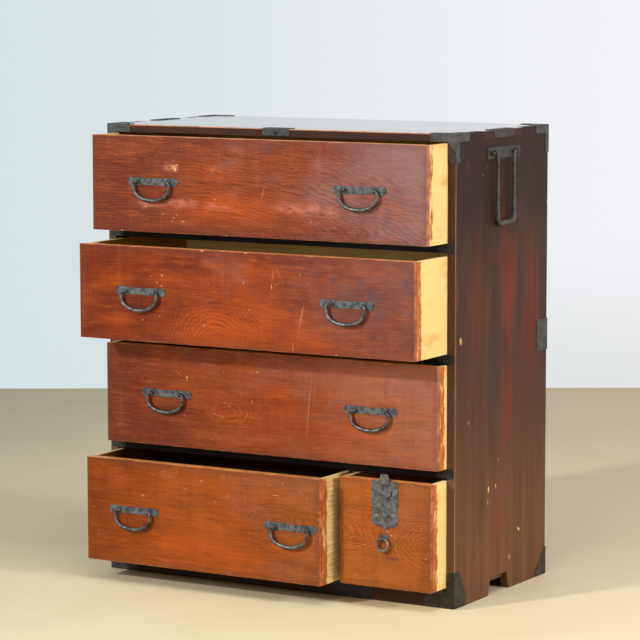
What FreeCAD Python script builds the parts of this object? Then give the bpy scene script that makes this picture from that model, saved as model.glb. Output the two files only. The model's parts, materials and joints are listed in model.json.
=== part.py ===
import FreeCAD
import Part
import Sketcher
import math
import os

# A Japanese clothing chest: a dovetailed wooden case bound in iron, five drawers,
# hanging bail handles, a sliding-bolt lock and two swinging carrying handles.
# Millimetres. X runs to the right, the front faces -Y, Z is up. The origin is on the
# floor, half way along the case's front edge.

Vector = FreeCAD.Vector

# Driving sizes, in millimetres. Names that end in share are ratios, in count are counts.
SIZES = {
    # case
    "case_width": 848.0,
    "case_depth": 422.0,
    "side_thickness": 18.0,
    "top_thickness": 17.0,
    "floor_thickness": 18.0,
    "floor_level": 43.5,
    "opening_low_height": 227.0,
    "opening_third_height": 216.4,
    "opening_second_height": 206.3,
    "opening_first_height": 204.8,
    "rail_thickness": 20.0,
    "rail_depth": 30.0,
    "dust_thickness": 7.0,
    "dust_tongue": 6.0,
    "housing_depth": 6.0,
    "back_thickness": 8.0,
    "back_board_count": 4,
    "back_floor_gap": 12.0,
    "base_rail_thickness": 20.0,
    "partition_thickness": 14.5,
    "partition_place": 183.5,
    "finger_count": 7,
    "notch_place": 200.0,
    "notch_height": 37.0,
    "notch_top_width": 74.0,
    "notch_floor_width": 97.0,
    "edge_ease": 1.0,
    # drawers
    "pull_first": 87.0,
    "pull_second": 138.0,
    "pull_third": 40.0,
    "pull_wide_low": 119.0,
    "pull_small": 66.0,
    "head_gap_first": 1.5,
    "head_gap_second": 5.5,
    "head_gap_third": 1.5,
    "head_gap_low": 3.2,
    "drawer_side_gap": 1.0,
    "drawer_floor_gap": 0.3,
    "drawer_back_gap": 2.0,
    "front_thickness": 20.0,
    "front_lap": 10.0,
    "drawer_side_thickness": 10.0,
    "drawer_side_drop": 1.0,
    "drawer_back_thickness": 9.0,
    "drawer_floor_thickness": 8.0,
    "drawer_floor_lap": 8.0,
    "drawer_finger_count": 5,
    # bail handles of the drawers
    "handle_inset": 155.0,
    "handle_inset_low_left": 121.5,
    "handle_inset_low_right": 70.5,
    "handle_height_share": 0.53,
    "handle_height_low_share": 0.52,
    "plate_length": 125.0,
    "plate_lobe_radius": 9.0,
    "plate_waist": 2.0,
    "plate_thickness": 1.6,
    "pin_spacing": 74.0,
    "pin_width": 4.0,
    "pin_wall": 1.3,
    "pin_leg_length": 13.0,
    "pin_slot_gap": 0.2,
    "eye_gap": 0.45,
    "eye_seat_gap": 0.1,
    "bail_width": 95.0,
    "bail_drop": 44.0,
    "bail_tip_spacing": 62.0,
    "bail_end_radius": 2.8,
    "bail_grip_radius": 3.8,
    "bail_shoulder_radius": 6.5,
    "bail_corner_radius": 25.0,
    "bail_bottom_radius": 70.0,
    # carrying handles on the sides
    "carry_top_gap": 47.0,
    "carry_forward_shift": 1.5,
    "carry_plate_length": 147.0,
    "carry_plate_height": 24.0,
    "carry_plate_corner": 5.0,
    "carry_pin_spacing": 100.0,
    "carry_pin_width": 5.0,
    "carry_pin_wall": 1.8,
    "carry_recess_margin": 0.6,
    "carry_bar_radius": 3.4,
    "carry_grip_radius": 5.6,
    "carry_bar_spacing": 74.0,
    "carry_tip_spacing": 122.0,
    "carry_drop": 152.0,
    "carry_shoulder_radius": 8.0,
    "carry_corner_radius": 14.0,
    # lock of the small drawer
    "lock_width": 61.5,
    "lock_height": 101.0,
    "lock_straight_height": 50.0,
    "lock_waist_drop": 64.4,
    "lock_waist_width": 54.0,
    "lock_lobe_drop": 82.0,
    "lock_heel_drop": 94.5,
    "lock_heel_width": 42.0,
    "lock_foot_hollow": 1.2,
    "lock_boss_drop": 71.0,
    "lock_boss_radius": 8.5,
    "lock_boss_thickness": 1.2,
    "keyhole_place": 16.0,
    "keyhole_drop": 21.5,
    "keyhole_stem": 6.0,
    "keyhole_width": 2.6,
    "keyhole_bend_radius": 5.5,
    "keyhole_bowl_radius": 2.8,
    "keyhole_tail": 4.0,
    "knob_width": 23.0,
    "knob_tip_width": 15.0,
    "knob_height": 28.0,
    "knob_rise": 14.0,
    "knob_shoulder_share": 0.62,
    "knob_thickness": 3.5,
    "knob_gap": 0.3,
    "stem_width": 6.0,
    "stem_height": 4.0,
    "stem_drop": 9.5,
    "bolt_travel": 8.0,
    "bolt_width": 16.0,
    "bolt_thickness": 5.0,
    "bolt_length": 62.0,
    "bolt_setback": 7.0,
    "bolt_gap": 0.3,
    "bolt_edge_drop": 0.5,
    "guide_thickness": 1.5,
    "guide_height": 9.0,
    "guide_drop": 27.0,
    "lock_recess_margin": 4.0,
    # ring pull of the small drawer
    "ring_lock_gap": 18.0,
    "ring_left_shift": 2.0,
    "ring_radius": 13.6,
    "ring_wire_radius": 1.9,
    "ring_end_gap": 0.8,
    "ring_eye_gap": 0.8,
    "ring_pin_width": 3.0,
    "washer_width": 22.0,
    "washer_height": 15.0,
    # iron of the case
    "iron_thickness": 1.2,
    "top_iron_arm": 58.0,
    "top_iron_width": 17.0,
    "top_iron_side_width": 15.0,
    "top_iron_clip": 3.0,
    "top_iron_lap": 26.0,
    "base_iron_height": 77.0,
    "base_iron_front": 70.0,
    "base_iron_side": 51.0,
    "base_iron_toe": 21.0,
    "base_iron_front_crown": 13.0,
    "base_iron_side_crown": 22.0,
    "base_iron_round": 4.0,
    "base_iron_back_height": 60.0,
    "base_iron_back_toe": 12.0,
    "base_iron_back_crown": 8.0,
    "iron_floor_gap": 1.0,
    "strap_place": 526.0,
    "strap_height": 68.0,
    "strap_width": 50.0,
    "strap_lap": 26.0,
    "edge_plate_width": 64.0,
    "edge_plate_height": 14.5,
    "edge_plate_lap": 25.0,
    "edge_plate_hole_radius": 2.4,
    "edge_plate_hole_drop": 9.0,
    "wear_plate_width": 88.0,
    "wear_plate_height": 16.0,
    "wear_plate_lap": 20.0,
    "joint_plate_stile": 15.0,
    "joint_plate_rail": 22.0,
    "joint_plate_margin": 0.5,
    "foot_plate_width": 97.0,
    "overrun": 5.0,
}

# The strip of a split pin folds in flats of this many degrees, and a bar bends in
# flats of at most this many.
FOLD_STEP = 30
BEND_STEP = 24

# How late along their drop the bails and the carrying handles swell to their grips.
BAIL_SWELL = 2
CARRY_SWELL = 8

doc = FreeCAD.newDocument("clothing_chest")
sheet = doc.addObject("Spreadsheet::Sheet", "Sizes")
for row, (alias, value) in enumerate(SIZES.items(), 1):
    sheet.set(f"A{row}", alias.replace("_", " "))
    sheet.set(f"B{row}", str(value))
    sheet.setAlias(f"B{row}", alias)
doc.recompute()


class Size:
    """A size that knows both its value and the expression that gives it from the sheet."""

    def __init__(self, value, text):
        self.value = float(value)
        self.text = text

    def join(self, other, sign, value):
        return Size(value, f"({self.text} {sign} {as_size(other).text})")

    def __add__(self, other):
        return self.join(other, "+", self.value + as_size(other).value)

    def __sub__(self, other):
        return self.join(other, "-", self.value - as_size(other).value)

    def __mul__(self, other):
        return self.join(other, "*", self.value * as_size(other).value)

    def __truediv__(self, other):
        return self.join(other, "/", self.value / as_size(other).value)

    def __neg__(self):
        return Size(-self.value, f"(0 - {self.text})")


def as_size(number):
    return number if isinstance(number, Size) else Size(number, repr(float(number)))


def given(alias):
    return Size(sheet.get(alias), f"Sizes.{alias}")


def root(square):
    return Size(math.sqrt(square.value), f"sqrt({square.text})")


ZERO = as_size(0)


def bind(thing, path, size):
    thing.setExpression(path, as_size(size).text)


def put(thing, x=ZERO, y=ZERO, z=ZERO, rotation=None):
    """Places an object with its base point tied to the sheet."""
    places = [as_size(p) for p in (x, y, z)]
    base = Vector(*[p.value for p in places])
    thing.Placement = FreeCAD.Placement(base, rotation or FreeCAD.Rotation())
    for axis, place in zip("xyz", places):
        bind(thing, f"Placement.Base.{axis}", place)


# Sketch and feature helpers

cuts = []
eases = []
nodes = []
NEAR = 1e-4
PLANES = {"XY": "XY_Plane", "XZ": "XZ_Plane", "YZ": "YZ_Plane"}


def new_body(name):
    return doc.addObject("PartDesign::Body", name)


def new_sketch(body, plane, name, offset=ZERO):
    """A sketch on one of the body's own origin planes, or parallel to it."""
    sketch = body.newObject("Sketcher::SketchObject", name)
    support = [f for f in body.Origin.OriginFeatures if f.Role == PLANES[plane]][0]
    sketch.AttachmentSupport = [(support, "")]
    sketch.MapMode = "FlatFace"
    offset = as_size(offset)
    if offset.value:
        sketch.AttachmentOffset = FreeCAD.Placement(
            Vector(0, 0, offset.value), FreeCAD.Rotation()
        )
        bind(sketch, "AttachmentOffset.Base.z", offset)
    return sketch


def constrain(sketch, size, kind, *where):
    """Adds a constraint with a size and ties it to the sheet."""
    size = as_size(size)
    number = sketch.addConstraint(Sketcher.Constraint(kind, *where, size.value))
    bind(sketch, f"Constraints[{number}]", size)


def tie_point(sketch, curve, end, x, y):
    """Fixes one point of a sketch by its two distances from the sketch's origin."""
    constrain(sketch, x, "DistanceX", -1, 1, curve, end)
    constrain(sketch, y, "DistanceY", -1, 1, curve, end)


def arc_between(start, end, radius, turn):
    """The short arc from start to end, turning left (1) or right (-1)."""
    chord = end - start
    half = chord.Length / 2
    rise = math.sqrt(max(radius**2 - half**2, 0.0))
    side = Vector(-chord.y, chord.x, 0).normalize() * turn
    centre = (start + end) * 0.5 + side * rise
    first, last = (start, end) if turn > 0 else (end, start)
    angles = [math.atan2(p.y - centre.y, p.x - centre.x) for p in (first, last)]
    circle = Part.Circle(centre, Vector(0, 0, 1), radius)
    return Part.ArcOfCircle(circle, angles[0], angles[1])


def draw_outline(sketch, points):
    """A closed outline. A point is (x, y), or (x, y, radius, turn) where an arc starts."""
    flat = [Vector(as_size(p[0]).value, as_size(p[1]).value, 0) for p in points]
    curves = []
    for i, point in enumerate(points):
        here, there = flat[i], flat[(i + 1) % len(flat)]
        if len(point) == 4:
            arc = arc_between(here, there, as_size(point[2]).value, point[3])
            ends = (1, 2) if point[3] > 0 else (2, 1)
        else:
            arc = Part.LineSegment(here, there)
            ends = (1, 2)
        curves.append((sketch.addGeometry(arc, False), ends))
    for i, (number, ends) in enumerate(curves):
        following, next_ends = curves[(i + 1) % len(curves)]
        sketch.addConstraint(
            Sketcher.Constraint("Coincident", number, ends[1], following, next_ends[0])
        )
        tie_point(sketch, number, ends[0], points[i][0], points[i][1])
        if len(points[i]) == 4:
            constrain(sketch, points[i][2], "Radius", number)


def draw_circle(sketch, x, y, radius):
    middle = Vector(as_size(x).value, as_size(y).value, 0)
    circle = Part.Circle(middle, Vector(0, 0, 1), as_size(radius).value)
    number = sketch.addGeometry(circle, False)
    tie_point(sketch, number, 3, x, y)
    constrain(sketch, radius, "Radius", number)


def bulge_radius(across, along, rise):
    """The radius of an arc that stands out from its chord by the rise."""
    quarter = (across * across + along * along) / 4
    return (quarter + rise * rise) / (rise * 2)


def tangent_radius(across, along):
    """The radius of an arc that starts along one direction and ends this far across."""
    return (across * across + along * along) / (across * 2)


def rectangle(x_low, y_low, x_high, y_high):
    return [(x_low, y_low), (x_high, y_low), (x_high, y_high), (x_low, y_high)]


# Pads from XZ planes run to +Y, and those from XY and YZ planes to +Z and +X,
# unless they are turned back. Pockets cut the same way.
FORWARD_IS_REVERSED = {"XY": False, "XZ": True, "YZ": False}


def add_profile(kind, body, plane, name, outlines, length, offset, circles):
    sketch = new_sketch(body, plane, f"{name}_outline", offset)
    for points in outlines:
        draw_outline(sketch, points)
    for circle in circles:
        draw_circle(sketch, *circle)
    feature = body.newObject(f"PartDesign::{kind}", name)
    feature.Profile = sketch
    feature.Length = as_size(length).value
    bind(feature, "Length", length)
    return feature


def pad(body, plane, name, outlines, length, back=False, offset=ZERO, circles=()):
    feature = add_profile("Pad", body, plane, name, outlines, length, offset, circles)
    feature.Reversed = FORWARD_IS_REVERSED[plane] != back
    return feature


def pocket(body, plane, name, outlines, length, back=False, offset=ZERO, circles=()):
    feature = add_profile("Pocket", body, plane, name, outlines, length, offset, circles)
    feature.Reversed = FORWARD_IS_REVERSED[plane] == back
    cuts.append(feature)
    return feature


def ease(body, name, size, wanted):
    """Chamfers the body's edges that the test picks, once the body has been computed."""
    eases.append((body, name, size, wanted))


def box(name, label, x, y, z, length, width, height):
    """A plain board."""
    board = doc.addObject("Part::Box", name)
    board.Label = label
    for path, size in (("Length", length), ("Width", width), ("Height", height)):
        setattr(board, path, as_size(size).value)
        bind(board, path, size)
    put(board, x, y, z)
    return board


def mirrored(source, name, normal, base_y=ZERO):
    copy = doc.addObject("Part::Mirroring", name)
    copy.Source = source
    copy.Normal = normal
    copy.Base = Vector(0, as_size(base_y).value, 0)
    bind(copy, "Base.y", base_y)
    return copy


def group(label, members):
    compound = doc.addObject("Part::Compound", label)
    compound.Links = members
    return compound


def node(thing, label):
    thing.Label = label
    nodes.append(thing)
    return thing


def counted(alias):
    return int(sheet.get(alias))


# Levels and widths that several pieces share

case_width = given("case_width")
case_depth = given("case_depth")
side_thickness = given("side_thickness")
housing_depth = given("housing_depth")
rail_thickness = given("rail_thickness")
rail_depth = given("rail_depth")
dust_thickness = given("dust_thickness")
dust_tongue = given("dust_tongue")
floor_level = given("floor_level")
floor_thickness = given("floor_thickness")
back_thickness = given("back_thickness")
iron = given("iron_thickness")
overrun = given("overrun")
ease_size = given("edge_ease")

half_width = case_width / 2
inner_half = half_width - side_thickness
housed_half = inner_half + housing_depth
inner_depth = case_depth - back_thickness
rail_low = floor_level + given("opening_low_height")
rail_low_top = rail_low + rail_thickness
rail_middle = rail_low_top + given("opening_third_height")
rail_middle_top = rail_middle + rail_thickness
rail_upper = rail_middle_top + given("opening_second_height")
rail_upper_top = rail_upper + rail_thickness
top_underside = rail_upper_top + given("opening_first_height")
case_height = top_underside + given("top_thickness")
carry_level = case_height - given("carry_top_gap")
RAILS = (("lower", rail_low), ("middle", rail_middle), ("upper", rail_upper))


# Case boards

def side_outline():
    """The side's edge: the splayed notch between its feet, and the fingers under the top."""
    place = given("notch_place")
    floor_half = given("notch_floor_width") / 2
    top_half = given("notch_top_width") / 2
    notch = given("notch_height")
    points = [
        (ZERO, ZERO),
        (place - floor_half, ZERO),
        (place - top_half, notch),
        (place + top_half, notch),
        (place + floor_half, ZERO),
        (case_depth, ZERO),
    ]
    count = counted("finger_count")
    step = case_depth / given("finger_count")
    for i in reversed(range(count)):
        level = case_height if i % 2 else top_underside
        far = case_depth if i == count - 1 else step * (i + 1)
        near = ZERO if i == 0 else step * i
        points += [(far, level), (near, level)]
    return points


def rail_housing(low):
    """The trench for one rail and the dust board behind it."""
    high = low + rail_thickness
    return [
        (ZERO, low),
        (rail_depth, low),
        (rail_depth, high - dust_thickness),
        (inner_depth, high - dust_thickness),
        (inner_depth, high),
        (ZERO, high),
    ]


def base_housing():
    """The trench for the base rails and the floor board between them."""
    base = given("base_rail_thickness")
    underside = floor_level - floor_thickness
    return [
        (ZERO, ZERO),
        (base, ZERO),
        (base, underside),
        (inner_depth - base, underside),
        (inner_depth - base, ZERO),
        (inner_depth, ZERO),
        (inner_depth, floor_level),
        (ZERO, floor_level),
    ]


def build_side_panels():
    body = new_body("left_side_body")
    pad(body, "YZ", "left_side_board", [side_outline()], side_thickness, back=True)
    housings = [rail_housing(low) for _, low in RAILS] + [base_housing()]
    pocket(body, "YZ", "left_side_housings", housings, housing_depth, back=True)
    rebate = rectangle(inner_depth, given("back_floor_gap"), case_depth, top_underside)
    pocket(body, "YZ", "left_side_rebate", [rebate], housing_depth, back=True)
    slots = [carry_pin.slot(place, carry_level) for place in carry_places()]
    pocket(body, "YZ", "left_side_pin_slots", slots, side_thickness, back=True)
    recesses = [clench_recess(place) for place in carry_places()]
    pocket(body, "YZ", "left_side_pin_recesses", recesses, carry_recess, back=True)
    put(body, x=-inner_half)
    ease(body, "left_side_ease", ease_size, outer_side_edge)
    node(body, "left_side_panel")
    node(mirrored(body, "right_side", Vector(1, 0, 0)), "right_side_panel")


def carry_places():
    """Where the front and rear split pins of a carrying handle stand, along the case."""
    middle = case_depth / 2 - given("carry_forward_shift")
    half = given("carry_pin_spacing") / 2
    return [middle - half, middle + half]


def clench_recess(place):
    """Room inside a side panel for the turned-over legs of one split pin."""
    margin = given("carry_recess_margin")
    half = given("carry_pin_width") / 2 + margin
    tall = given("carry_pin_wall") + given("pin_leg_length") + margin
    return rectangle(
        place - half, carry_level - tall, place + half, carry_level + tall
    )


def outer_side_edge(edge):
    """The outer upright arrises of a side panel."""
    ends = [v.Point for v in edge.Vertexes]
    outside = all(abs(p.x + side_thickness.value) < NEAR for p in ends)
    upright = len(ends) == 2 and abs(ends[0].y - ends[1].y) < NEAR
    at_edge = min(abs(ends[0].y), abs(ends[0].y - case_depth.value)) < NEAR
    return outside and upright and at_edge


def build_top():
    """The top board, with fingers that lie between those of the sides."""
    count = counted("finger_count")
    step = case_depth / given("finger_count")
    right = []
    for i in range(count):
        x = inner_half if i % 2 else half_width
        near = ZERO if i == 0 else step * i
        far = case_depth if i == count - 1 else step * (i + 1)
        right += [(x, near), (x, far)]
    left = [(-x, y) for x, y in reversed(right)]
    body = new_body("top_body")
    pad(body, "XY", "top_plank", [right + left], given("top_thickness"))
    put(body, z=top_underside)
    ease(body, "top_ease", ease_size, front_arris(given("top_thickness")))
    node(body, "top_board")


def front_arris(height):
    def wanted(edge):
        ends = [v.Point for v in edge.Vertexes]
        return all(abs(p.y) < NEAR and abs(p.z - height.value) < NEAR for p in ends)

    return wanted


def build_rails():
    """Front rails, each with a rebate at its back for the dust board behind it."""
    length = housed_half * 2
    for name, low in RAILS:
        profile = [
            (ZERO, ZERO),
            (rail_depth, ZERO),
            (rail_depth, rail_thickness - dust_thickness),
            (rail_depth - dust_tongue, rail_thickness - dust_thickness),
            (rail_depth - dust_tongue, rail_thickness),
            (ZERO, rail_thickness),
        ]
        body = new_body(f"rail_{name}_body")
        pad(body, "YZ", f"rail_{name}_bar", [profile], length)
        if name == "lower":
            cut_bolt_mortise(body)
        put(body, x=-housed_half, z=low)
        node(body, f"{name}_rail")
        board = box(
            f"dust_{name}",
            f"{name}_dust_board",
            -housed_half,
            rail_depth - dust_tongue,
            low + rail_thickness - dust_thickness,
            length,
            inner_depth - rail_depth + dust_tongue,
            dust_thickness,
        )
        nodes.append(board)


def cut_bolt_mortise(body):
    """The blind hole in the lowest rail that takes the drawer's bolt."""
    gap = given("bolt_gap") * 3
    half = given("bolt_width") / 2 + gap
    middle = small_middle + housed_half
    near = given("bolt_setback") - gap
    far = given("bolt_setback") + given("bolt_thickness") + gap
    hole = rectangle(middle - half, near, middle + half, far)
    depth = given("bolt_travel") + gap * 2
    pocket(body, "XY", "bolt_mortise", [hole], depth)


def build_floor_and_base():
    base = given("base_rail_thickness")
    underside = floor_level - floor_thickness
    length = housed_half * 2
    nodes.append(
        box(
            "floor_plank", "bottom_board", -housed_half, base, underside,
            length, inner_depth - base, floor_thickness,
        )
    )
    nodes.append(
        box(
            "front_base", "base_front_rail", -housed_half, ZERO, ZERO,
            length, base, floor_level,
        )
    )
    nodes.append(
        box(
            "back_base", "base_back_rail", -housed_half, inner_depth - base, ZERO,
            length, base, underside,
        )
    )


def build_back():
    """Upright back boards, side by side in the rebates of the sides."""
    count = counted("back_board_count")
    width = housed_half * 2 / given("back_board_count")
    low = given("back_floor_gap")
    boards = [
        box(
            f"back_plank_{i + 1}", f"back plank {i + 1}", width * i - housed_half,
            inner_depth, low, width, back_thickness, top_underside - low,
        )
        for i in range(count)
    ]
    node(group("back_group", boards), "back_boards")


def build_partition():
    """The upright between the two lowest drawers, notched round the rail above."""
    under_dust = rail_low_top - dust_thickness
    profile = [
        (ZERO, floor_level),
        (inner_depth, floor_level),
        (inner_depth, under_dust),
        (rail_depth, under_dust),
        (rail_depth, rail_low),
        (ZERO, rail_low),
    ]
    thickness = given("partition_thickness")
    body = new_body("partition_body")
    pad(body, "YZ", "partition_plank", [profile], thickness)
    put(body, x=given("partition_place") - thickness / 2)
    node(body, "drawer_partition")


# Drawers

class Drawer:
    """The place and the outside sizes of one drawer."""

    def __init__(self, number, left, right, level, opening, head_gap, pull):
        self.name = f"drawer_{number}"
        self.left = left
        self.width = right - left
        self.level = level + given("drawer_floor_gap")
        self.height = opening - given("drawer_floor_gap") - head_gap
        self.face = -pull
        self.depth = inner_depth - given("drawer_back_gap")
        self.side_height = self.height - given("drawer_side_drop")


drawer_gap = given("drawer_side_gap")
outer_left = drawer_gap - inner_half
outer_right = inner_half - drawer_gap
partition_half = given("partition_thickness") / 2
wide_low_right = given("partition_place") - partition_half - drawer_gap
small_left = given("partition_place") + partition_half + drawer_gap
small_middle = (small_left + outer_right) / 2

DRAWERS = [
    Drawer(
        1, outer_left, outer_right, rail_upper_top, given("opening_first_height"),
        given("head_gap_first"), given("pull_first"),
    ),
    Drawer(
        2, outer_left, outer_right, rail_middle_top, given("opening_second_height"),
        given("head_gap_second"), given("pull_second"),
    ),
    Drawer(
        3, outer_left, outer_right, rail_low_top, given("opening_third_height"),
        given("head_gap_third"), given("pull_third"),
    ),
    Drawer(
        4, outer_left, wide_low_right, floor_level, given("opening_low_height"),
        given("head_gap_low"), given("pull_wide_low"),
    ),
    Drawer(
        5, small_left, outer_right, floor_level, given("opening_low_height"),
        given("head_gap_low"), given("pull_small"),
    ),
]
small_drawer = DRAWERS[4]

front_thickness = given("front_thickness")
wall = given("drawer_side_thickness")
drawer_back = given("drawer_back_thickness")
drawer_floor = given("drawer_floor_thickness")


def build_drawer_front(drawer, slots):
    """A thick front: laps at its ends take the sides, a rebate takes the bottom."""
    lap = given("front_lap")
    plan = [
        (ZERO, ZERO),
        (drawer.width, ZERO),
        (drawer.width, lap),
        (drawer.width - wall, lap),
        (drawer.width - wall, front_thickness),
        (wall, front_thickness),
        (wall, lap),
        (ZERO, lap),
    ]
    name = f"{drawer.name}_front"
    body = new_body(f"{name}_body")
    pad(body, "XY", f"{name}_board", [plan], drawer.height)
    inner = front_thickness - given("drawer_floor_lap")
    rebate = rectangle(wall, inner, drawer.width - wall, front_thickness)
    pocket(body, "XY", f"{name}_rebate", [rebate], drawer_floor)
    if slots:
        pocket(body, "XZ", f"{name}_pin_slots", slots, front_thickness)
    put(body, drawer.left, drawer.face, drawer.level)
    ease(body, f"{name}_ease", ease_size, face_edge(drawer))
    node(body, name)
    return body


def face_edge(drawer):
    """The four outer edges of a drawer's face."""

    def wanted(edge):
        ends = [v.Point for v in edge.Vertexes]
        if len(ends) != 2 or any(abs(p.y) > NEAR for p in ends):
            return False
        across = all(min(abs(p.x), abs(p.x - drawer.width.value)) < NEAR for p in ends)
        level = abs(ends[0].z - ends[1].z) < NEAR
        upright = abs(ends[0].x - ends[1].x) < NEAR
        at_edge = min(abs(ends[0].z), abs(ends[0].z - drawer.height.value)) < NEAR
        return across and (upright or level and at_edge)

    return wanted


def comb_levels(drawer):
    """The levels where the fingers of the back corners start and end."""
    count = counted("drawer_finger_count")
    step = (drawer.side_height - drawer_floor) / given("drawer_finger_count")
    return [drawer_floor + step * i for i in range(count)] + [drawer.side_height]


def build_drawer_box(drawer):
    """Sides, back and bottom of one drawer, with comb joints at the back corners."""
    levels = comb_levels(drawer)
    count = len(levels) - 1
    tail = drawer.depth - drawer_back
    side = [(given("front_lap"), ZERO), (drawer.depth, ZERO)]
    for i in range(count):
        reach = tail if i % 2 else drawer.depth
        side += [(reach, levels[i]), (reach, levels[i + 1])]
    side.append((given("front_lap"), drawer.side_height))
    side = [p for i, p in enumerate(side) if i == 0 or not same(p, side[i - 1])]
    sides = []
    for name, x in (("left", drawer.left), ("right", drawer.left + drawer.width - wall)):
        body = new_body(f"{drawer.name}_side_{name}")
        pad(body, "YZ", f"{drawer.name}_side_{name}_board", [side], wall)
        put(body, x, drawer.face, drawer.level)
        sides.append(body)
    node(group(f"{drawer.name}_side_pair", sides), f"{drawer.name}_sides")

    right = []
    for i in range(count):
        x = drawer.width if i % 2 else drawer.width - wall
        right += [(x, levels[i]), (x, levels[i + 1])]
    left = [(drawer.width - x, z) for x, z in reversed(right)]
    body = new_body(f"{drawer.name}_back_body")
    pad(body, "XZ", f"{drawer.name}_back_board", [right + left], drawer_back)
    put(body, drawer.left, drawer.face + tail, drawer.level)
    node(body, f"{drawer.name}_back")

    start = front_thickness - given("drawer_floor_lap")
    nodes.append(
        box(
            f"{drawer.name}_floor", f"{drawer.name}_bottom", drawer.left + wall,
            drawer.face + start, drawer.level, drawer.width - wall * 2,
            drawer.depth - start, drawer_floor,
        )
    )


def same(p, q):
    return all(abs(as_size(a).value - as_size(b).value) < NEAR for a, b in zip(p, q))


# Split pins: a flat strip folded round an eye, its two legs turned over inside

class Pin:
    """The sizes of one kind of split pin. The strip's halves meet at the neck."""

    def __init__(self, wire_radius, eye_gap, width, board, wall, tapered=True):
        self.hole = wire_radius + eye_gap
        self.wall = wall
        self.width = width
        self.outer = self.hole + self.wall
        self.tapered = tapered
        if tapered:
            # tangents at 30 degrees to the middle line leave the eye and meet behind it
            self.neck = self.outer * 2 - self.wall * math.sqrt(3)
        else:
            self.neck = root(self.outer * self.outer - self.wall * self.wall)
        seat = self.neck if tapered else self.outer
        self.standoff = given("plate_thickness") + seat + given("eye_seat_gap")
        self.reach = self.standoff + board

    def slot(self, x, z):
        """The opening that the two legs pass through."""
        gap = given("pin_slot_gap")
        half = self.width / 2 + gap
        tall = self.wall + gap
        return rectangle(x - half, z - tall, x + half, z + tall)

    def strip(self):
        """The folded strip from its eye to its clenched legs."""
        inside = self.reach + given("pin_slot_gap")
        clench = inside + self.wall
        top = self.wall + given("pin_leg_length")
        legs = [
            (self.neck, -self.wall),
            (inside, -self.wall),
            (inside, -top),
            (clench, -top),
            (clench, top),
            (inside, top),
            (inside, self.wall),
            (self.neck, self.wall),
        ]
        first = 60 if self.tapered else FOLD_STEP
        return legs + folds(self.outer, first, 360 - first)

    def eye(self):
        """The opening of the eye, which a tapered pin draws to a point behind."""
        if self.tapered:
            return folds(self.hole, 60, 300) + [(self.hole * 2, ZERO)]
        return folds(self.hole, 0, 360 - FOLD_STEP)


def folds(radius, first, last):
    """The short flats that the strip is folded in, as it is hammered round its bar."""
    angles = [math.radians(a) for a in range(first, last + 1, FOLD_STEP)]
    return [(radius * math.cos(a), radius * math.sin(a)) for a in angles]


def build_pin(name, pin, x, y, z, rotation=None):
    """A pin with its eye at the given place and its legs to the back."""
    body = new_body(name)
    pad(
        body, "YZ", f"{name}_strip", [pin.strip(), pin.eye()], pin.width,
        offset=-pin.width / 2,
    )
    put(body, x, y, z, rotation)
    return body


# Bail handles of the drawers

bail_pin = Pin(
    given("bail_end_radius"), given("eye_gap"), given("pin_width"), front_thickness,
    given("pin_wall"),
)


def handle_places(drawer, inset_left, inset_right, share):
    """Handle centres, measured from the drawer's lower left corner."""
    level = drawer.height * share
    return [(inset_left, level), (drawer.width - inset_right, level)]


def plate_outline():
    """A long plate with a round lobe at each end and gently hollow edges."""
    lobe = given("plate_lobe_radius")
    reach = given("plate_length") / 2 - lobe
    hollow = bulge_radius(reach * 2, ZERO, given("plate_waist"))
    return [
        (-reach, -lobe, hollow, -1),
        (reach, -lobe, lobe, 1),
        (reach + lobe, ZERO, lobe, 1),
        (reach, lobe, hollow, -1),
        (-reach, lobe, lobe, 1),
        (-reach - lobe, ZERO, lobe, 1),
    ]


def build_handle_irons(drawer, places):
    """The backplates of one drawer's handles and the split pins through them."""
    members = []
    half = given("pin_spacing") / 2
    for side, (x, z) in zip(("left", "right"), places):
        name = f"{drawer.name}_plate_{side}"
        body = new_body(name)
        pad(
            body, "XZ", f"{name}_sheet", [plate_outline()],
            given("plate_thickness"), back=True,
        )
        slots = [bail_pin.slot(-half, ZERO), bail_pin.slot(half, ZERO)]
        pocket(
            body, "XZ", f"{name}_slots", slots, given("plate_thickness"), back=True
        )
        put(body, drawer.left + x, drawer.face, drawer.level + z)
        members.append(body)
        for end, shift in (("outer", -half), ("inner", half)):
            members.append(
                build_pin(
                    f"{drawer.name}_pin_{side}_{end}", bail_pin,
                    drawer.left + x + shift, drawer.face - bail_pin.standoff,
                    drawer.level + z,
                )
            )
    node(group(f"{drawer.name}_iron_group", members), f"{drawer.name}_handle_irons")


def octagon(centre, along, radius):
    """Corners of an eight-sided section square to a bar, as a smith's hammer leaves it."""
    depth = Vector(0, 1, 0)
    up = depth.cross(along)
    reach = radius / math.cos(math.pi / 8)
    corners = []
    for i in range(8):
        angle = (i + 0.5) * math.pi / 4
        offset = depth * math.cos(angle) + up * math.sin(angle)
        corners.append(centre + offset * reach)
    return corners


def walk(x, z, heading, legs):
    """Stations along a path in the XZ plane: places and directions, leg by leg.

    A leg is (length,) for a straight run or (radius, degrees) for a bend, with
    bends to the left positive.
    """
    place = Vector(x, 0, z)
    stations = [(place, direction(heading))]
    for leg in legs:
        if len(leg) == 1:
            place = place + direction(heading) * leg[0]
            stations.append((place, direction(heading)))
            continue
        radius, sweep = leg
        side = math.copysign(90, sweep)
        centre = place + direction(heading + side) * radius
        count = math.ceil(abs(sweep) / BEND_STEP)
        for i in range(1, count + 1):
            angle = heading + sweep * i / count
            place = centre - direction(angle + side) * radius
            stations.append((place, direction(angle)))
        heading += sweep
    return stations


def direction(degrees):
    angle = math.radians(degrees)
    return Vector(math.cos(angle), 0, math.sin(angle))


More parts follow.
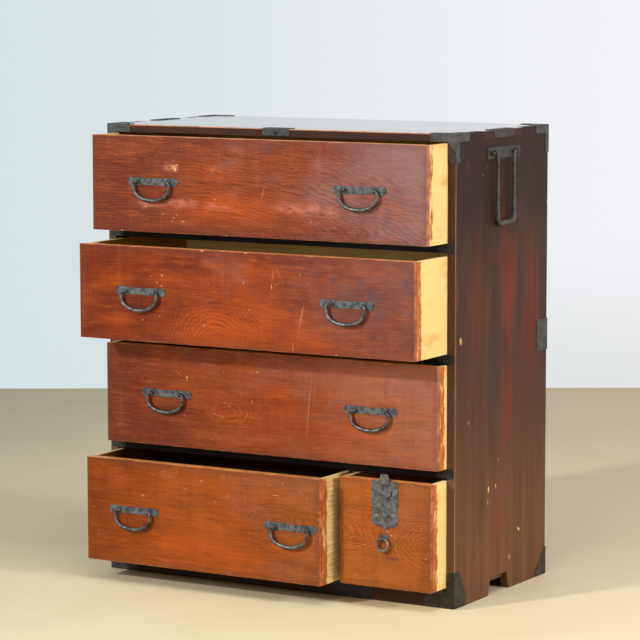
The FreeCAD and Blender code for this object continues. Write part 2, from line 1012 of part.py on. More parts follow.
def forged_bar(stations, thickness):
    """A bar of short flats through the stations, as thick as each one's place asks.

    Where the bar bends and swells at once its flats are twisted, so each is two facets.
    """
    rings = [octagon(place, along, thickness(place)) for place, along in stations]
    faces = [facet(rings[0]), facet(rings[-1])]
    for ring, following in zip(rings, rings[1:]):
        for i in range(len(ring)):
            faces.append(facet([ring[i - 1], ring[i], following[i]]))
            faces.append(facet([ring[i - 1], following[i], following[i - 1]]))
    shell = Part.makeShell(faces)
    shell.sewShape()
    bar = Part.makeSolid(shell)
    if bar.Volume < 0:
        bar.reverse()
    return bar


def facet(corners):
    return Part.Face(Part.makePolygon(corners + corners[:1]))


def thickened(end_radius, grip_radius, low, sharpness):
    """A bar's radius, which grows from its ends to its grip."""
    def radius(place):
        return end_radius + (grip_radius - end_radius) * (place.z / low) ** sharpness

    return radius


def bail_shape():
    """The D-shaped bail about its pivot, with both tips turned in along the pivot axis."""
    end = given("bail_end_radius").value
    grip = given("bail_grip_radius").value
    half = given("bail_width").value / 2 - end
    tip = given("bail_tip_spacing").value / 2
    shoulder = given("bail_shoulder_radius").value
    corner = given("bail_corner_radius").value
    bottom = given("bail_bottom_radius").value
    low = grip - given("bail_drop").value
    offset = half - corner
    rise = math.sqrt((bottom - corner) ** 2 - offset**2)
    bend_level = low + bottom - rise
    sweep = math.degrees(math.atan2(rise, offset))
    side = [(half - shoulder - tip,), (shoulder, -90), (-shoulder - bend_level,)]
    legs = side + [(corner, -sweep), (bottom, 2 * sweep - 180), (corner, -sweep)]
    stations = walk(tip, 0, 0, legs + side[::-1])
    return forged_bar(stations, thickened(end, grip, low, BAIL_SWELL))


def build_bails(drawer, places):
    for side, (x, z) in zip(("left", "right"), places):
        bail = doc.addObject("Part::Feature", f"{drawer.name}_bail_{side}_bar")
        bail.Shape = bail_shape()
        put(
            bail, drawer.left + x, drawer.face - bail_pin.standoff, drawer.level + z
        )
        node(bail, f"{drawer.name}_bail_{side}")


# Lock of the small drawer

def lock_outline():
    """A shield: straight sides, a waist, a wide lobed foot and a blunt point."""
    half = given("lock_width") / 2
    waist = given("lock_waist_width") / 2
    heel = given("lock_heel_width") / 2
    straight = given("lock_straight_height")
    waist_drop = given("lock_waist_drop")
    lobe_drop = given("lock_lobe_drop")
    heel_drop = given("lock_heel_drop")
    drop = given("lock_height")
    shoulder = tangent_radius(half - waist, waist_drop - straight)
    lobe = tangent_radius(half - waist, lobe_drop - waist_drop)
    foot = tangent_radius(half - heel, heel_drop - lobe_drop)
    hollow = bulge_radius(heel, drop - heel_drop, given("lock_foot_hollow"))
    return [
        (-half, ZERO),
        (-half, -straight, shoulder, 1),
        (-waist, -waist_drop, lobe, 1),
        (-half, -lobe_drop, foot, 1),
        (-heel, -heel_drop, hollow, -1),
        (ZERO, -drop, hollow, -1),
        (heel, -heel_drop, foot, 1),
        (half, -lobe_drop, lobe, 1),
        (waist, -waist_drop, shoulder, 1),
        (half, -straight),
        (half, ZERO),
    ]


def keyhole():
    """A crooked slot: a short stem, a bend and a hook, all as wide as the key's blade."""
    half = given("keyhole_width") / 2
    bend = given("keyhole_bend_radius")
    bowl = given("keyhole_bowl_radius")
    x = given("keyhole_place")
    top = -given("keyhole_drop")
    bend_level = top - given("keyhole_stem")
    hook = x - bend
    bowl_top = bend_level - bend
    bowl_level = bowl_top - bowl
    bowl_low = bowl_level - bowl
    tail = hook + given("keyhole_tail")
    return [
        (x - half, top),
        (x - half, bend_level, bend - half, -1),
        (hook, bowl_top + half, bowl + half, 1),
        (hook - bowl - half, bowl_level, bowl + half, 1),
        (hook, bowl_low - half),
        (tail, bowl_low - half),
        (tail, bowl_low + half),
        (hook, bowl_low + half, bowl - half, -1),
        (hook - bowl + half, bowl_level, bowl - half, -1),
        (hook, bowl_top - half, bend + half, 1),
        (x + half, bend_level),
        (x + half, top),
    ]


def build_lock(drawer):
    """Shield-shaped plate, sliding bolt with its knob outside, guides behind."""
    middle = drawer.width / 2
    plate = given("plate_thickness")
    gap = given("knob_gap")
    body = new_body("lock_plate_body")
    pad(body, "XZ", "lock_sheet", [lock_outline()], plate, back=True)
    stem_half = given("stem_width") / 2 + gap
    slot_high = given("bolt_travel") + gap - given("stem_drop")
    slot_low = -given("stem_drop") - given("stem_height") - gap
    slot = rectangle(-stem_half, slot_low, stem_half, slot_high)
    pocket(body, "XZ", "lock_openings", [slot, keyhole()], plate, back=True)
    boss = (ZERO, -given("lock_boss_drop"), given("lock_boss_radius"))
    pad(
        body, "XZ", "lock_boss", [], given("lock_boss_thickness"), back=True,
        offset=plate, circles=[boss],
    )
    put(body, drawer.left + middle, drawer.face, drawer.level + drawer.height)
    node(body, "lock_plate")
    build_bolt(drawer, middle)
    build_guides(drawer, middle)


def build_bolt(drawer, middle):
    """The bolt's bar in the front board, its stem through the plate, its knob outside."""
    plate = given("plate_thickness")
    thick = given("knob_thickness")
    gap = given("knob_gap")
    half = given("knob_width") / 2
    tip = given("knob_tip_width") / 2
    rise = given("knob_rise")
    low = rise - given("knob_height")
    body = new_body("lock_bolt_body")
    bar_half = given("bolt_width") / 2
    bar_top = -given("bolt_edge_drop")
    bar = rectangle(-bar_half, bar_top - given("bolt_length"), bar_half, bar_top)
    pad(
        body, "XZ", "bolt_bar", [bar], given("bolt_thickness"),
        offset=-given("bolt_setback"),
    )
    stem_half = given("stem_width") / 2
    stem_high = -given("stem_drop")
    stem = rectangle(
        -stem_half, stem_high - given("stem_height"), stem_half, stem_high
    )
    stem_length = given("bolt_setback") + plate + gap
    pad(
        body, "XZ", "bolt_stem", [stem], stem_length,
        offset=plate + gap,
    )
    shoulder = low + given("knob_height") * given("knob_shoulder_share")
    knob = [
        (-half, low + half, half, 1),
        (ZERO, low, half, 1),
        (half, low + half),
        (half, shoulder),
        (tip, rise),
        (-tip, rise),
        (-half, shoulder),
    ]
    pad(body, "XZ", "bolt_knob", [knob], thick, back=True, offset=plate + gap)
    ease(body, "bolt_knob_ease", given("knob_thickness") / 3, knob_edge)
    put(body, drawer.left + middle, drawer.face, drawer.level + drawer.height)
    node(body, "lock_bolt")


def knob_edge(edge):
    """The outline of the knob's outer face."""
    plate, gap = given("plate_thickness"), given("knob_gap")
    outer = -(plate + gap + given("knob_thickness")).value
    return all(abs(v.Point.y - outer) < NEAR for v in edge.Vertexes)


def build_guides(drawer, middle):
    """Two bridges in the front board's recess that hold the bolt's bar."""
    gap = given("bolt_gap")
    thickness = given("guide_thickness")
    bar = given("bolt_width") / 2 + gap
    near = given("bolt_setback") - gap - thickness
    far = given("bolt_setback") + given("bolt_thickness") + gap
    recess = bar + thickness * 2
    plan = [
        (-recess, near),
        (recess, near),
        (recess, far),
        (bar, far),
        (bar, near + thickness),
        (-bar, near + thickness),
        (-bar, far),
        (-recess, far),
    ]
    members = []
    drops = (given("guide_drop"), given("bolt_length"))
    for number, drop in enumerate(drops, 1):
        body = new_body(f"lock_guide_{number}")
        pad(body, "XY", f"lock_guide_{number}_bridge", [plan], given("guide_height"))
        put(
            body, drawer.left + middle, drawer.face,
            drawer.level + drawer.height - drop,
        )
        members.append(body)
    node(group("lock_guide_pair", members), "lock_guides")


def cut_lock_recess(body, drawer):
    """The recess in the drawer's front that the lock plate covers."""
    middle = drawer.width / 2
    gap = given("bolt_gap")
    half = given("bolt_width") / 2 + gap + given("guide_thickness") * 2
    depth = given("bolt_setback") + given("bolt_thickness") + gap
    drop = given("bolt_length") + given("lock_recess_margin")
    recess = rectangle(
        middle - half, drawer.height - drop, middle + half, drawer.height + overrun
    )
    pocket(body, "XZ", "lock_recess", [recess], depth)


# Ring pull of the small drawer

ring_pin = Pin(
    given("ring_wire_radius"), given("ring_eye_gap"), given("ring_pin_width"),
    front_thickness, given("pin_wall"),
)


def ring_shape():
    """The ring about its pivot, bent round until its two ends nearly meet at the top."""
    middle = given("ring_radius").value
    wire = given("ring_wire_radius").value
    open_angle = math.degrees(given("ring_end_gap").value / middle / 2)
    start = direction(90 - open_angle) * middle
    stations = walk(
        start.x, start.z - middle, -open_angle, [(middle, 2 * open_angle - 360)]
    )
    return forged_bar(stations, lambda place: wire)


def build_ring(drawer):
    """A washer, a split pin and the ring that hangs in it."""
    middle = ring_middle(drawer)
    place = ring_height(drawer)
    round_end = given("washer_height") / 2
    half = given("washer_width") / 2 - round_end
    outline = [
        (-half, -round_end),
        (half, -round_end, round_end, 1),
        (half + round_end, ZERO, round_end, 1),
        (half, round_end),
        (-half, round_end, round_end, 1),
        (-half - round_end, ZERO, round_end, 1),
    ]
    plate = given("plate_thickness")
    washer = new_body("ring_washer")
    pad(washer, "XZ", "ring_washer_sheet", [outline], plate, back=True)
    pocket(
        washer, "XZ", "ring_washer_slot", [ring_pin.slot(ZERO, ZERO)], plate, back=True
    )
    x = drawer.left + middle
    z = drawer.level + place
    put(washer, x, drawer.face, z)
    pin = build_pin("ring_split_pin", ring_pin, x, drawer.face - ring_pin.standoff, z)
    node(group("ring_iron_group", [washer, pin]), "ring_irons")

    ring = doc.addObject("Part::Feature", "ring_bar")
    ring.Shape = ring_shape()
    put(ring, x, drawer.face - ring_pin.standoff, z)
    node(ring, "ring_pull")


def ring_middle(drawer):
    return drawer.width / 2 - given("ring_left_shift")


def ring_height(drawer):
    """The ring's pivot hangs this far below the point of the lock plate."""
    return drawer.height - given("lock_height") - given("ring_lock_gap")


# Carrying handles on the sides

carry_recess = given("carry_pin_wall") + given("pin_slot_gap") + given("carry_recess_margin")
carry_pin = Pin(
    given("carry_bar_radius"), given("eye_gap"), given("carry_pin_width"),
    side_thickness - carry_recess, given("carry_pin_wall"), tapered=False,
)


def carry_shape():
    """A U-shaped handle about its pivot, its ends turned out along the pivot axis."""
    bar = given("carry_bar_radius").value
    grip = given("carry_grip_radius").value
    half = given("carry_bar_spacing").value / 2
    tip = given("carry_tip_spacing").value / 2
    shoulder = given("carry_shoulder_radius").value
    corner = given("carry_corner_radius").value
    low = grip - given("carry_drop").value
    end = (tip - half - shoulder,)
    arm = (-low - shoulder - corner,)
    cross = (2 * (half - corner),)
    legs = [end, (shoulder, 90), arm, (corner, -90), cross, (corner, -90), arm]
    stations = walk(tip, 0, 180, legs + [(shoulder, 90), end])
    return forged_bar(stations, thickened(bar, grip, low, CARRY_SWELL))


def carry_plate_outline():
    half = given("carry_plate_length") / 2
    tall = given("carry_plate_height") / 2
    corner = given("carry_plate_corner")
    return [
        (-half + corner, -tall),
        (half - corner, -tall, corner, 1),
        (half, -tall + corner),
        (half, tall - corner, corner, 1),
        (half - corner, tall),
        (-half + corner, tall, corner, 1),
        (-half, tall - corner),
        (-half, -tall + corner, corner, 1),
    ]


def build_carry_handles():
    """Backplate, split pins and handle of the left side, and their mirror images."""
    middle = case_depth / 2
    shift = given("carry_forward_shift")
    out = FreeCAD.Rotation(Vector(0, 0, 1), -90)
    plate = new_body("carry_plate_left")
    pad(
        plate, "XZ", "carry_sheet", [carry_plate_outline()],
        given("plate_thickness"), back=True,
    )
    half = given("carry_pin_spacing") / 2
    slots = [carry_pin.slot(shift - half, ZERO), carry_pin.slot(shift + half, ZERO)]
    pocket(plate, "XZ", "carry_slots", slots, given("plate_thickness"), back=True)
    put(plate, -half_width, middle, carry_level, out)
    members = [plate]
    for name, place in zip(("front", "rear"), carry_places()):
        members.append(
            build_pin(
                f"carry_pin_{name}", carry_pin, -half_width - carry_pin.standoff,
                place, carry_level, out,
            )
        )
    copies = [mirrored(m, f"{m.Name}_copy", Vector(1, 0, 0)) for m in members]
    node(group("carry_iron_group", members + copies), "side_handle_irons")

    left = doc.addObject("Part::Feature", "carry_bar_left")
    left.Shape = carry_shape()
    put(left, -half_width - carry_pin.standoff, middle - shift, carry_level, out)
    node(left, "side_handle_left")
    node(mirrored(left, "carry_bar_right", Vector(1, 0, 0)), "side_handle_right")


# Iron bound round the case

def build_top_irons():
    """An iron over each upper corner: an arm each way on the front, side and top."""
    arm = given("top_iron_arm")
    lap = given("top_iron_lap")
    body = new_body("top_iron")
    faces = (("XZ", "front", "top_iron_width"), ("YZ", "side", "top_iron_side_width"))
    for plane, name, alias in faces:
        outline = arm_outline(arm, given("top_iron_width"), given(alias))
        pad(body, plane, f"top_iron_{name}", [outline], iron, back=True)
    corner = given("top_iron_width") / 2
    top = [
        (-iron, -iron),
        (arm, -iron),
        (arm, lap - corner),
        (lap, lap),
        (lap - corner, arm),
        (-iron, arm),
    ]
    pad(body, "XY", "top_iron_top", [top], iron)
    put(body, -half_width, ZERO, case_height)
    across = mirrored(body, "top_iron_right", Vector(1, 0, 0))
    behind = [
        mirrored(body, "top_iron_back_left", Vector(0, 1, 0), case_depth / 2),
        mirrored(across, "top_iron_back_right", Vector(0, 1, 0), case_depth / 2),
    ]
    node(group("top_iron_group", [body, across] + behind), "top_corner_irons")


def arm_outline(arm, across, down):
    """One face of an upper corner iron: an arm along the edge and one down the corner."""
    clip = given("top_iron_clip")
    return [
        (-iron, iron),
        (-iron, -arm),
        (down - clip, -arm),
        (down, clip - arm),
        (down, -across),
        (arm - clip, -across),
        (arm, clip - across),
        (arm, iron),
    ]


def base_outline(height, arm, toe, crown, post=None):
    """One face of a lower corner iron, wide at the floor and narrow at its head.

    Where a post is given, its width and the floor's level cut a step for the drawers.
    """
    low = given("iron_floor_gap")
    round_end = given("base_iron_round")
    outline = [(-iron, low), (arm, low), (arm, toe)]
    if post:
        step = floor_level - given("joint_plate_margin")
        slope = (height - round_end - toe) / (arm - crown)
        outline += [
            (arm - (step - toe) / slope, step),
            (post, step),
            (post, toe + (arm - post) * slope),
        ]
    outline += [
        (crown, height - round_end, round_end, 1),
        (crown - round_end, height),
        (-iron, height),
    ]
    return outline


def build_base_irons():
    """A spreading iron round each lower corner, taller in front than behind."""
    side = given("base_iron_side")
    height, toe = given("base_iron_height"), given("base_iron_toe")
    back_height, back_toe = given("base_iron_back_height"), given("base_iron_back_toe")
    back_crown = given("base_iron_back_crown")
    post = side_thickness - given("joint_plate_margin")
    front = given("base_iron_front"), toe, given("base_iron_front_crown"), post
    shapes = {
        "front": (
            base_outline(height, *front),
            base_outline(height, side, toe, given("base_iron_side_crown")),
        ),
        "back": (base_outline(back_height, side, back_toe, back_crown),) * 2,
    }
    members = []
    for name, (across, along) in shapes.items():
        body = new_body(f"base_iron_{name}")
        pad(body, "XZ", f"base_iron_{name}_face", [across], iron, back=True)
        pad(body, "YZ", f"base_iron_{name}_side", [along], iron, back=True)
        put(body, -half_width)
        if name == "back":
            body = mirrored(body, "base_iron_back_left", Vector(0, 1, 0), case_depth / 2)
        members += [body, mirrored(body, f"base_iron_{name}_right", Vector(1, 0, 0))]
    node(group("base_iron_group", members), "base_corner_irons")


def build_straps():
    """A strap round the middle of each back edge."""
    width = given("strap_width")
    lap = given("strap_lap")
    plan = [
        (-iron, case_depth - width),
        (ZERO, case_depth - width),
        (ZERO, case_depth),
        (lap, case_depth),
        (lap, case_depth + iron),
        (-iron, case_depth + iron),
    ]
    body = new_body("edge_strap_left")
    pad(body, "XY", "edge_strap_sheet", [plan], given("strap_height"))
    put(body, -half_width, ZERO, given("strap_place") - given("strap_height") / 2)
    copy = mirrored(body, "edge_strap_right", Vector(1, 0, 0))
    node(group("edge_strap_pair", [body, copy]), "edge_straps")


def folded_plate(name, width, height, lap):
    """A plate folded over an upper front edge: down the face and back over the top."""
    profile = [
        (-iron, -height),
        (ZERO, -height),
        (ZERO, ZERO),
        (lap, ZERO),
        (lap, iron),
        (-iron, iron),
    ]
    body = new_body(name)
    pad(body, "YZ", f"{name}_sheet", [profile], width, offset=-width / 2)
    return body


def build_edge_plates():
    front = folded_plate(
        "edge_plate_body", given("edge_plate_width"), given("edge_plate_height"),
        given("edge_plate_lap"),
    )
    hole = (ZERO, -given("edge_plate_hole_drop"), given("edge_plate_hole_radius"))
    pocket(
        front, "XZ", "edge_plate_hole", [], iron, back=True, circles=[hole]
    )
    put(front, ZERO, ZERO, case_height)
    node(front, "top_edge_plate")

    side = folded_plate(
        "wear_plate_left", given("wear_plate_width"), given("wear_plate_height"),
        given("wear_plate_lap"),
    )
    turned = FreeCAD.Rotation(Vector(0, 0, 1), -90)
    put(side, -half_width, case_depth / 2, case_height, turned)
    copy = mirrored(side, "wear_plate_right", Vector(1, 0, 0))
    node(group("wear_plate_pair", [side, copy]), "handle_wear_plates")


def build_joint_plates():
    """Plates over the ends of the rails, and one over the partition's foot."""
    stile = given("joint_plate_stile")
    margin = given("joint_plate_margin")
    corner = stile / 3
    members = []
    for name, low in RAILS:
        low_edge = low + margin
        high_edge = low + rail_thickness - margin
        outer = -inner_half - stile
        inner = given("joint_plate_rail") - inner_half
        outline = [
            (outer, low_edge),
            (inner, low_edge),
            (inner, high_edge),
            (outer + corner, high_edge, corner, 1),
            (outer, high_edge - corner),
        ]
        body = new_body(f"joint_plate_{name}_left")
        pad(body, "XZ", f"joint_plate_{name}_sheet", [outline], iron, back=True)
        put(body)
        copy = mirrored(body, f"joint_plate_{name}_right", Vector(1, 0, 0))
        members += [body, copy]
    half = given("foot_plate_width") / 2
    place = given("partition_place")
    low = given("iron_floor_gap")
    foot = [
        (place - half, low),
        (place + half, low),
        (place + half, floor_level - margin),
        (place - half, floor_level - margin),
    ]
    body = new_body("partition_foot_plate")
    pad(body, "XZ", "partition_foot_sheet", [foot], iron, back=True)
    put(body)
    members.append(body)
    node(group("joint_plate_group", members), "joint_plates")


# Assembly

build_side_panels()
build_top()
build_rails()
build_floor_and_base()
build_back()
build_partition()

bail_half = given("pin_spacing") / 2
for drawer in DRAWERS:
    if drawer is small_drawer:
        continue
    if drawer.name == "drawer_4":
        insets = given("handle_inset_low_left"), given("handle_inset_low_right")
        share = given("handle_height_low_share")
    else:
        insets = given("handle_inset"), given("handle_inset")
        share = given("handle_height_share")
    places = handle_places(drawer, *insets, share)
    slots = [
        bail_pin.slot(x + shift, z) for x, z in places for shift in (-bail_half, bail_half)
    ]
    build_drawer_front(drawer, slots)
    build_drawer_box(drawer)
    build_handle_irons(drawer, places)
    build_bails(drawer, places)

small_front = build_drawer_front(
    small_drawer, [ring_pin.slot(ring_middle(small_drawer), ring_height(small_drawer))]
)
cut_lock_recess(small_front, small_drawer)
build_drawer_box(small_drawer)
build_lock(small_drawer)
build_ring(small_drawer)

build_carry_handles()
build_top_irons()
build_base_irons()
build_straps()
build_edge_plates()
build_joint_plates()
doc.recompute()


# Eased edges come last, when the boards they are cut from exist

for body, name, size, wanted in eases:
    base = body.Tip
    edges = [
        f"Edge{i}" for i, edge in enumerate(base.Shape.Edges, 1) if wanted(edge)
    ]
    if not edges:
        raise RuntimeError(f"{name} finds no edge")
    chamfer = body.newObject("PartDesign::Chamfer", name)
    chamfer.Base = (base, edges)
    chamfer.Size = as_size(size).value
    bind(chamfer, "Size", size)
doc.recompute()


# Every pocket has to take something away, and every object has to be sound

for feature in cuts:
    before = feature.BaseFeature.Shape.Volume
    if not feature.Shape.Volume < before - NEAR:
        raise RuntimeError(f"{feature.Name} cuts nothing")
for thing in doc.Objects:
    if "Invalid" in thing.State or "Error" in thing.State:
        raise RuntimeError(f"{thing.Name} failed: {thing.State}")

os.makedirs("parts", exist_ok=True)
total = 0
for thing in nodes:
    shape = thing.Shape
    if shape.isNull() or not shape.isValid() or not shape.Solids:
        raise RuntimeError(f"{thing.Label} is not a sound solid")
    shape.exportStep(f"parts/{thing.Label}.step")
    total += 1
    print(f"{thing.Label}: {len(shape.Solids)} solids, {shape.Volume:.0f} mm3")
print(f"{total} nodes")
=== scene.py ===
import json
import math
import random

import bmesh
import bpy
from mathutils import Matrix, Vector, noise


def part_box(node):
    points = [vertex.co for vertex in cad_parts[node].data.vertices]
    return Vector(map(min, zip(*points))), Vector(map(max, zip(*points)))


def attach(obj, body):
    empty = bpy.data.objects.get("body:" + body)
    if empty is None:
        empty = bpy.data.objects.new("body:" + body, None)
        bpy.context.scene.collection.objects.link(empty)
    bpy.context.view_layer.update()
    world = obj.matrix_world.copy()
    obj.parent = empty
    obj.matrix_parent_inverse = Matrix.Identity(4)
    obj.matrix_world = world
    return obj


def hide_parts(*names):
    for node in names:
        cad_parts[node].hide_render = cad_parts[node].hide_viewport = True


# The looks of a Japanese clothing chest: lacquered fronts, pale drawer wood, iron
# fittings, a pale floor and soft light. Metres, in the same frame as the solids.

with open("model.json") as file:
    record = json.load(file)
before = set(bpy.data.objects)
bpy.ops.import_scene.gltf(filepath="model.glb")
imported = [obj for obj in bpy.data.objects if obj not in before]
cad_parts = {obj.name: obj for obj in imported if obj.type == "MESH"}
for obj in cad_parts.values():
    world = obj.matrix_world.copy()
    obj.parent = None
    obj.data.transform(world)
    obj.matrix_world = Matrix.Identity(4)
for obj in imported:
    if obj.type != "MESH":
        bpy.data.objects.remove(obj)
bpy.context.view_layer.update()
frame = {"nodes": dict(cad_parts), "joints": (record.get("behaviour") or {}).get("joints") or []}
nodes = frame["nodes"]
pivots = {joint["name"]: joint.get("pos_m") for joint in frame["joints"]}
dice = random.Random(7)

MM = 0.001
WIDE_DRAWERS = (1, 2, 3, 4)
CASE_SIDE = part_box("right_side_panel")[1].x
CASE_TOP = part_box("top_board")[1].z

# Half the size of a mark that goes through the whole piece
FAR = 100.0

CAMERA_PLACE = (3.1395, -5.1704, 1.2987)
CAMERA_YAW = math.radians(30.40)
CAMERA_PITCH = math.radians(-6.84)
CAMERA_ROLL = math.radians(-0.07)
FOCAL_PIXELS = 2900
PICTURE_PIXELS = 640
SENSOR_WIDTH = 36.0


# Materials

def linear(value):
    value /= 255
    return value / 12.92 if value <= 0.04045 else ((value + 0.055) / 1.055) ** 2.4


def paint(red, green, blue):
    """A colour given in screen values from 0 to 255."""
    return (linear(red), linear(green), linear(blue), 1.0)


class Wire:
    """A number that flows through a material. Arithmetic on it adds math nodes."""

    def __init__(self, shader, socket):
        self.shader = shader
        self.socket = socket

    def __add__(self, other):
        return self.shader.math("ADD", self, other)

    def __sub__(self, other):
        return self.shader.math("SUBTRACT", self, other)

    def __rsub__(self, other):
        return self.shader.math("SUBTRACT", other, self)

    def __mul__(self, other):
        return self.shader.math("MULTIPLY", self, other)

    def __truediv__(self, other):
        return self.shader.math("DIVIDE", self, other)

    def spread(self, low, high, most=1.0):
        """0 below low, most above high, and smooth between. High may be the smaller one."""
        node = self.shader.node("ShaderNodeMapRange", interpolation_type="SMOOTHSTEP")
        start, end = 0.0, most
        if low > high:
            low, high, start, end = high, low, most, 0.0
        for place, value in enumerate((self, low, high, start, end)):
            self.shader.feed(node.inputs[place], value)
        return Wire(self.shader, node.outputs[0])


class Nodes:
    """Adds nodes to a tree, with the values or wires of their first inputs."""

    def __init__(self, tree):
        self.tree = tree

    def node(self, kind, *values, **settings):
        node = self.tree.nodes.new(kind)
        for name, value in settings.items():
            setattr(node, name, value)
        for socket, value in zip(node.inputs, values):
            self.feed(socket, value)
        return node

    def feed(self, socket, value):
        if isinstance(value, Wire):
            value = value.socket
        if isinstance(value, bpy.types.NodeSocket):
            self.tree.links.new(value, socket)
        elif value is not None:
            socket.default_value = value

    def math(self, operation, *values):
        node = self.node("ShaderNodeMath", *values, operation=operation)
        return Wire(self, node.outputs[0])

    def smaller(self, *wires):
        result = wires[0]
        for wire in wires[1:]:
            result = self.math("MINIMUM", result, wire)
        return result

    def larger(self, *wires):
        result = wires[0]
        for wire in wires[1:]:
            result = self.math("MAXIMUM", result, wire)
        return result

    def mix(self, share, first, second, blend="MIX"):
        node = self.node("ShaderNodeMixRGB", share, first, second, blend_type=blend)
        return node.outputs[0]


class Shader(Nodes):
    """Builds one procedural material, node by node, in the object's own coordinates."""

    def __init__(self, name, roughness=0.5, **uniform):
        self.material = bpy.data.materials.new(name)
        self.material.use_nodes = True
        super().__init__(self.material.node_tree)
        self.surface = self.tree.nodes["Principled BSDF"]
        self.surface.inputs["Roughness"].default_value = roughness
        for words, value in uniform.items():
            self.surface.inputs[words.replace("_", " ")].default_value = value
        self.place = self.node("ShaderNodeTexCoord").outputs["Object"]
        parts = self.node("ShaderNodeSeparateXYZ", self.place).outputs
        self.x, self.y, self.z = [Wire(self, part) for part in parts]

    def stretched(self, scale, shift=(0, 0, 0)):
        """The place, stretched by a scale along each axis and shifted."""
        node = self.node(
            "ShaderNodeVectorMath", self.place, scale, shift, operation="MULTIPLY_ADD"
        )
        return node.outputs[0]

    def noise(self, scale, detail, rough, shift=(0, 0, 0)):
        node = self.node("ShaderNodeTexNoise")
        self.feed(node.inputs["Vector"], self.stretched(scale, shift))
        for name, value in (("Scale", 1.0), ("Detail", detail), ("Roughness", rough)):
            node.inputs[name].default_value = value
        return Wire(self, node.outputs[0])

    def trembling(self, scale, reach):
        """The place, moved about by a fine noise, to give marks ragged edges."""
        node = self.node("ShaderNodeTexNoise")
        self.feed(node.inputs["Vector"], self.stretched((scale, scale, scale)))
        for name, value in (("Scale", 1.0), ("Detail", 3.0)):
            node.inputs[name].default_value = value
        shift = self.node(
            "ShaderNodeVectorMath", node.outputs["Color"], (reach,) * 3, (-reach / 2,) * 3,
            operation="MULTIPLY_ADD",
        )
        moved = self.node("ShaderNodeVectorMath", self.place, shift.outputs[0], operation="ADD")
        return moved.outputs[0]

    def marks(self, spots, softness, place=None):
        """The strongest of some oval spots: (centre, half sizes, turn in degrees, strength).

        An oval with a half size of None along an axis goes through the whole piece.
        """
        result = None
        for centre, halves, turn, strength in spots:
            node = self.node("ShaderNodeMapping", vector_type="TEXTURE")
            self.feed(node.inputs["Vector"], place or self.place)
            node.inputs["Location"].default_value = centre
            node.inputs["Rotation"].default_value = [math.radians(-a) for a in turn]
            node.inputs["Scale"].default_value = [FAR if h is None else h for h in halves]
            length = self.node("ShaderNodeVectorMath", node.outputs[0], operation="LENGTH")
            spot = Wire(self, length.outputs["Value"]).spread(1.0, 1.0 - softness, strength)
            result = spot if result is None else self.larger(result, spot)
        return result

    def shaded(self, colour, field, *steps):
        """The colour, tinted where a field lies past a start, fully from an end onward.

        Each step is its start, its end, the most that it tints, and the tint.
        """
        for start, end, most, tint in steps:
            colour = self.mix(field.spread(start, end, most), colour, tint)
        return colour

    def finish(self, colour, rough=None, height=None, depth=0.001, strength=1.0):
        self.feed(self.surface.inputs["Base Color"], colour)
        if rough is not None:
            self.feed(self.surface.inputs["Roughness"], rough)
        if height is not None:
            bump = self.node("ShaderNodeBump", strength, depth)
            self.feed(bump.inputs["Height"], height)
            self.feed(self.surface.inputs["Normal"], bump.outputs[0])
        return self.material


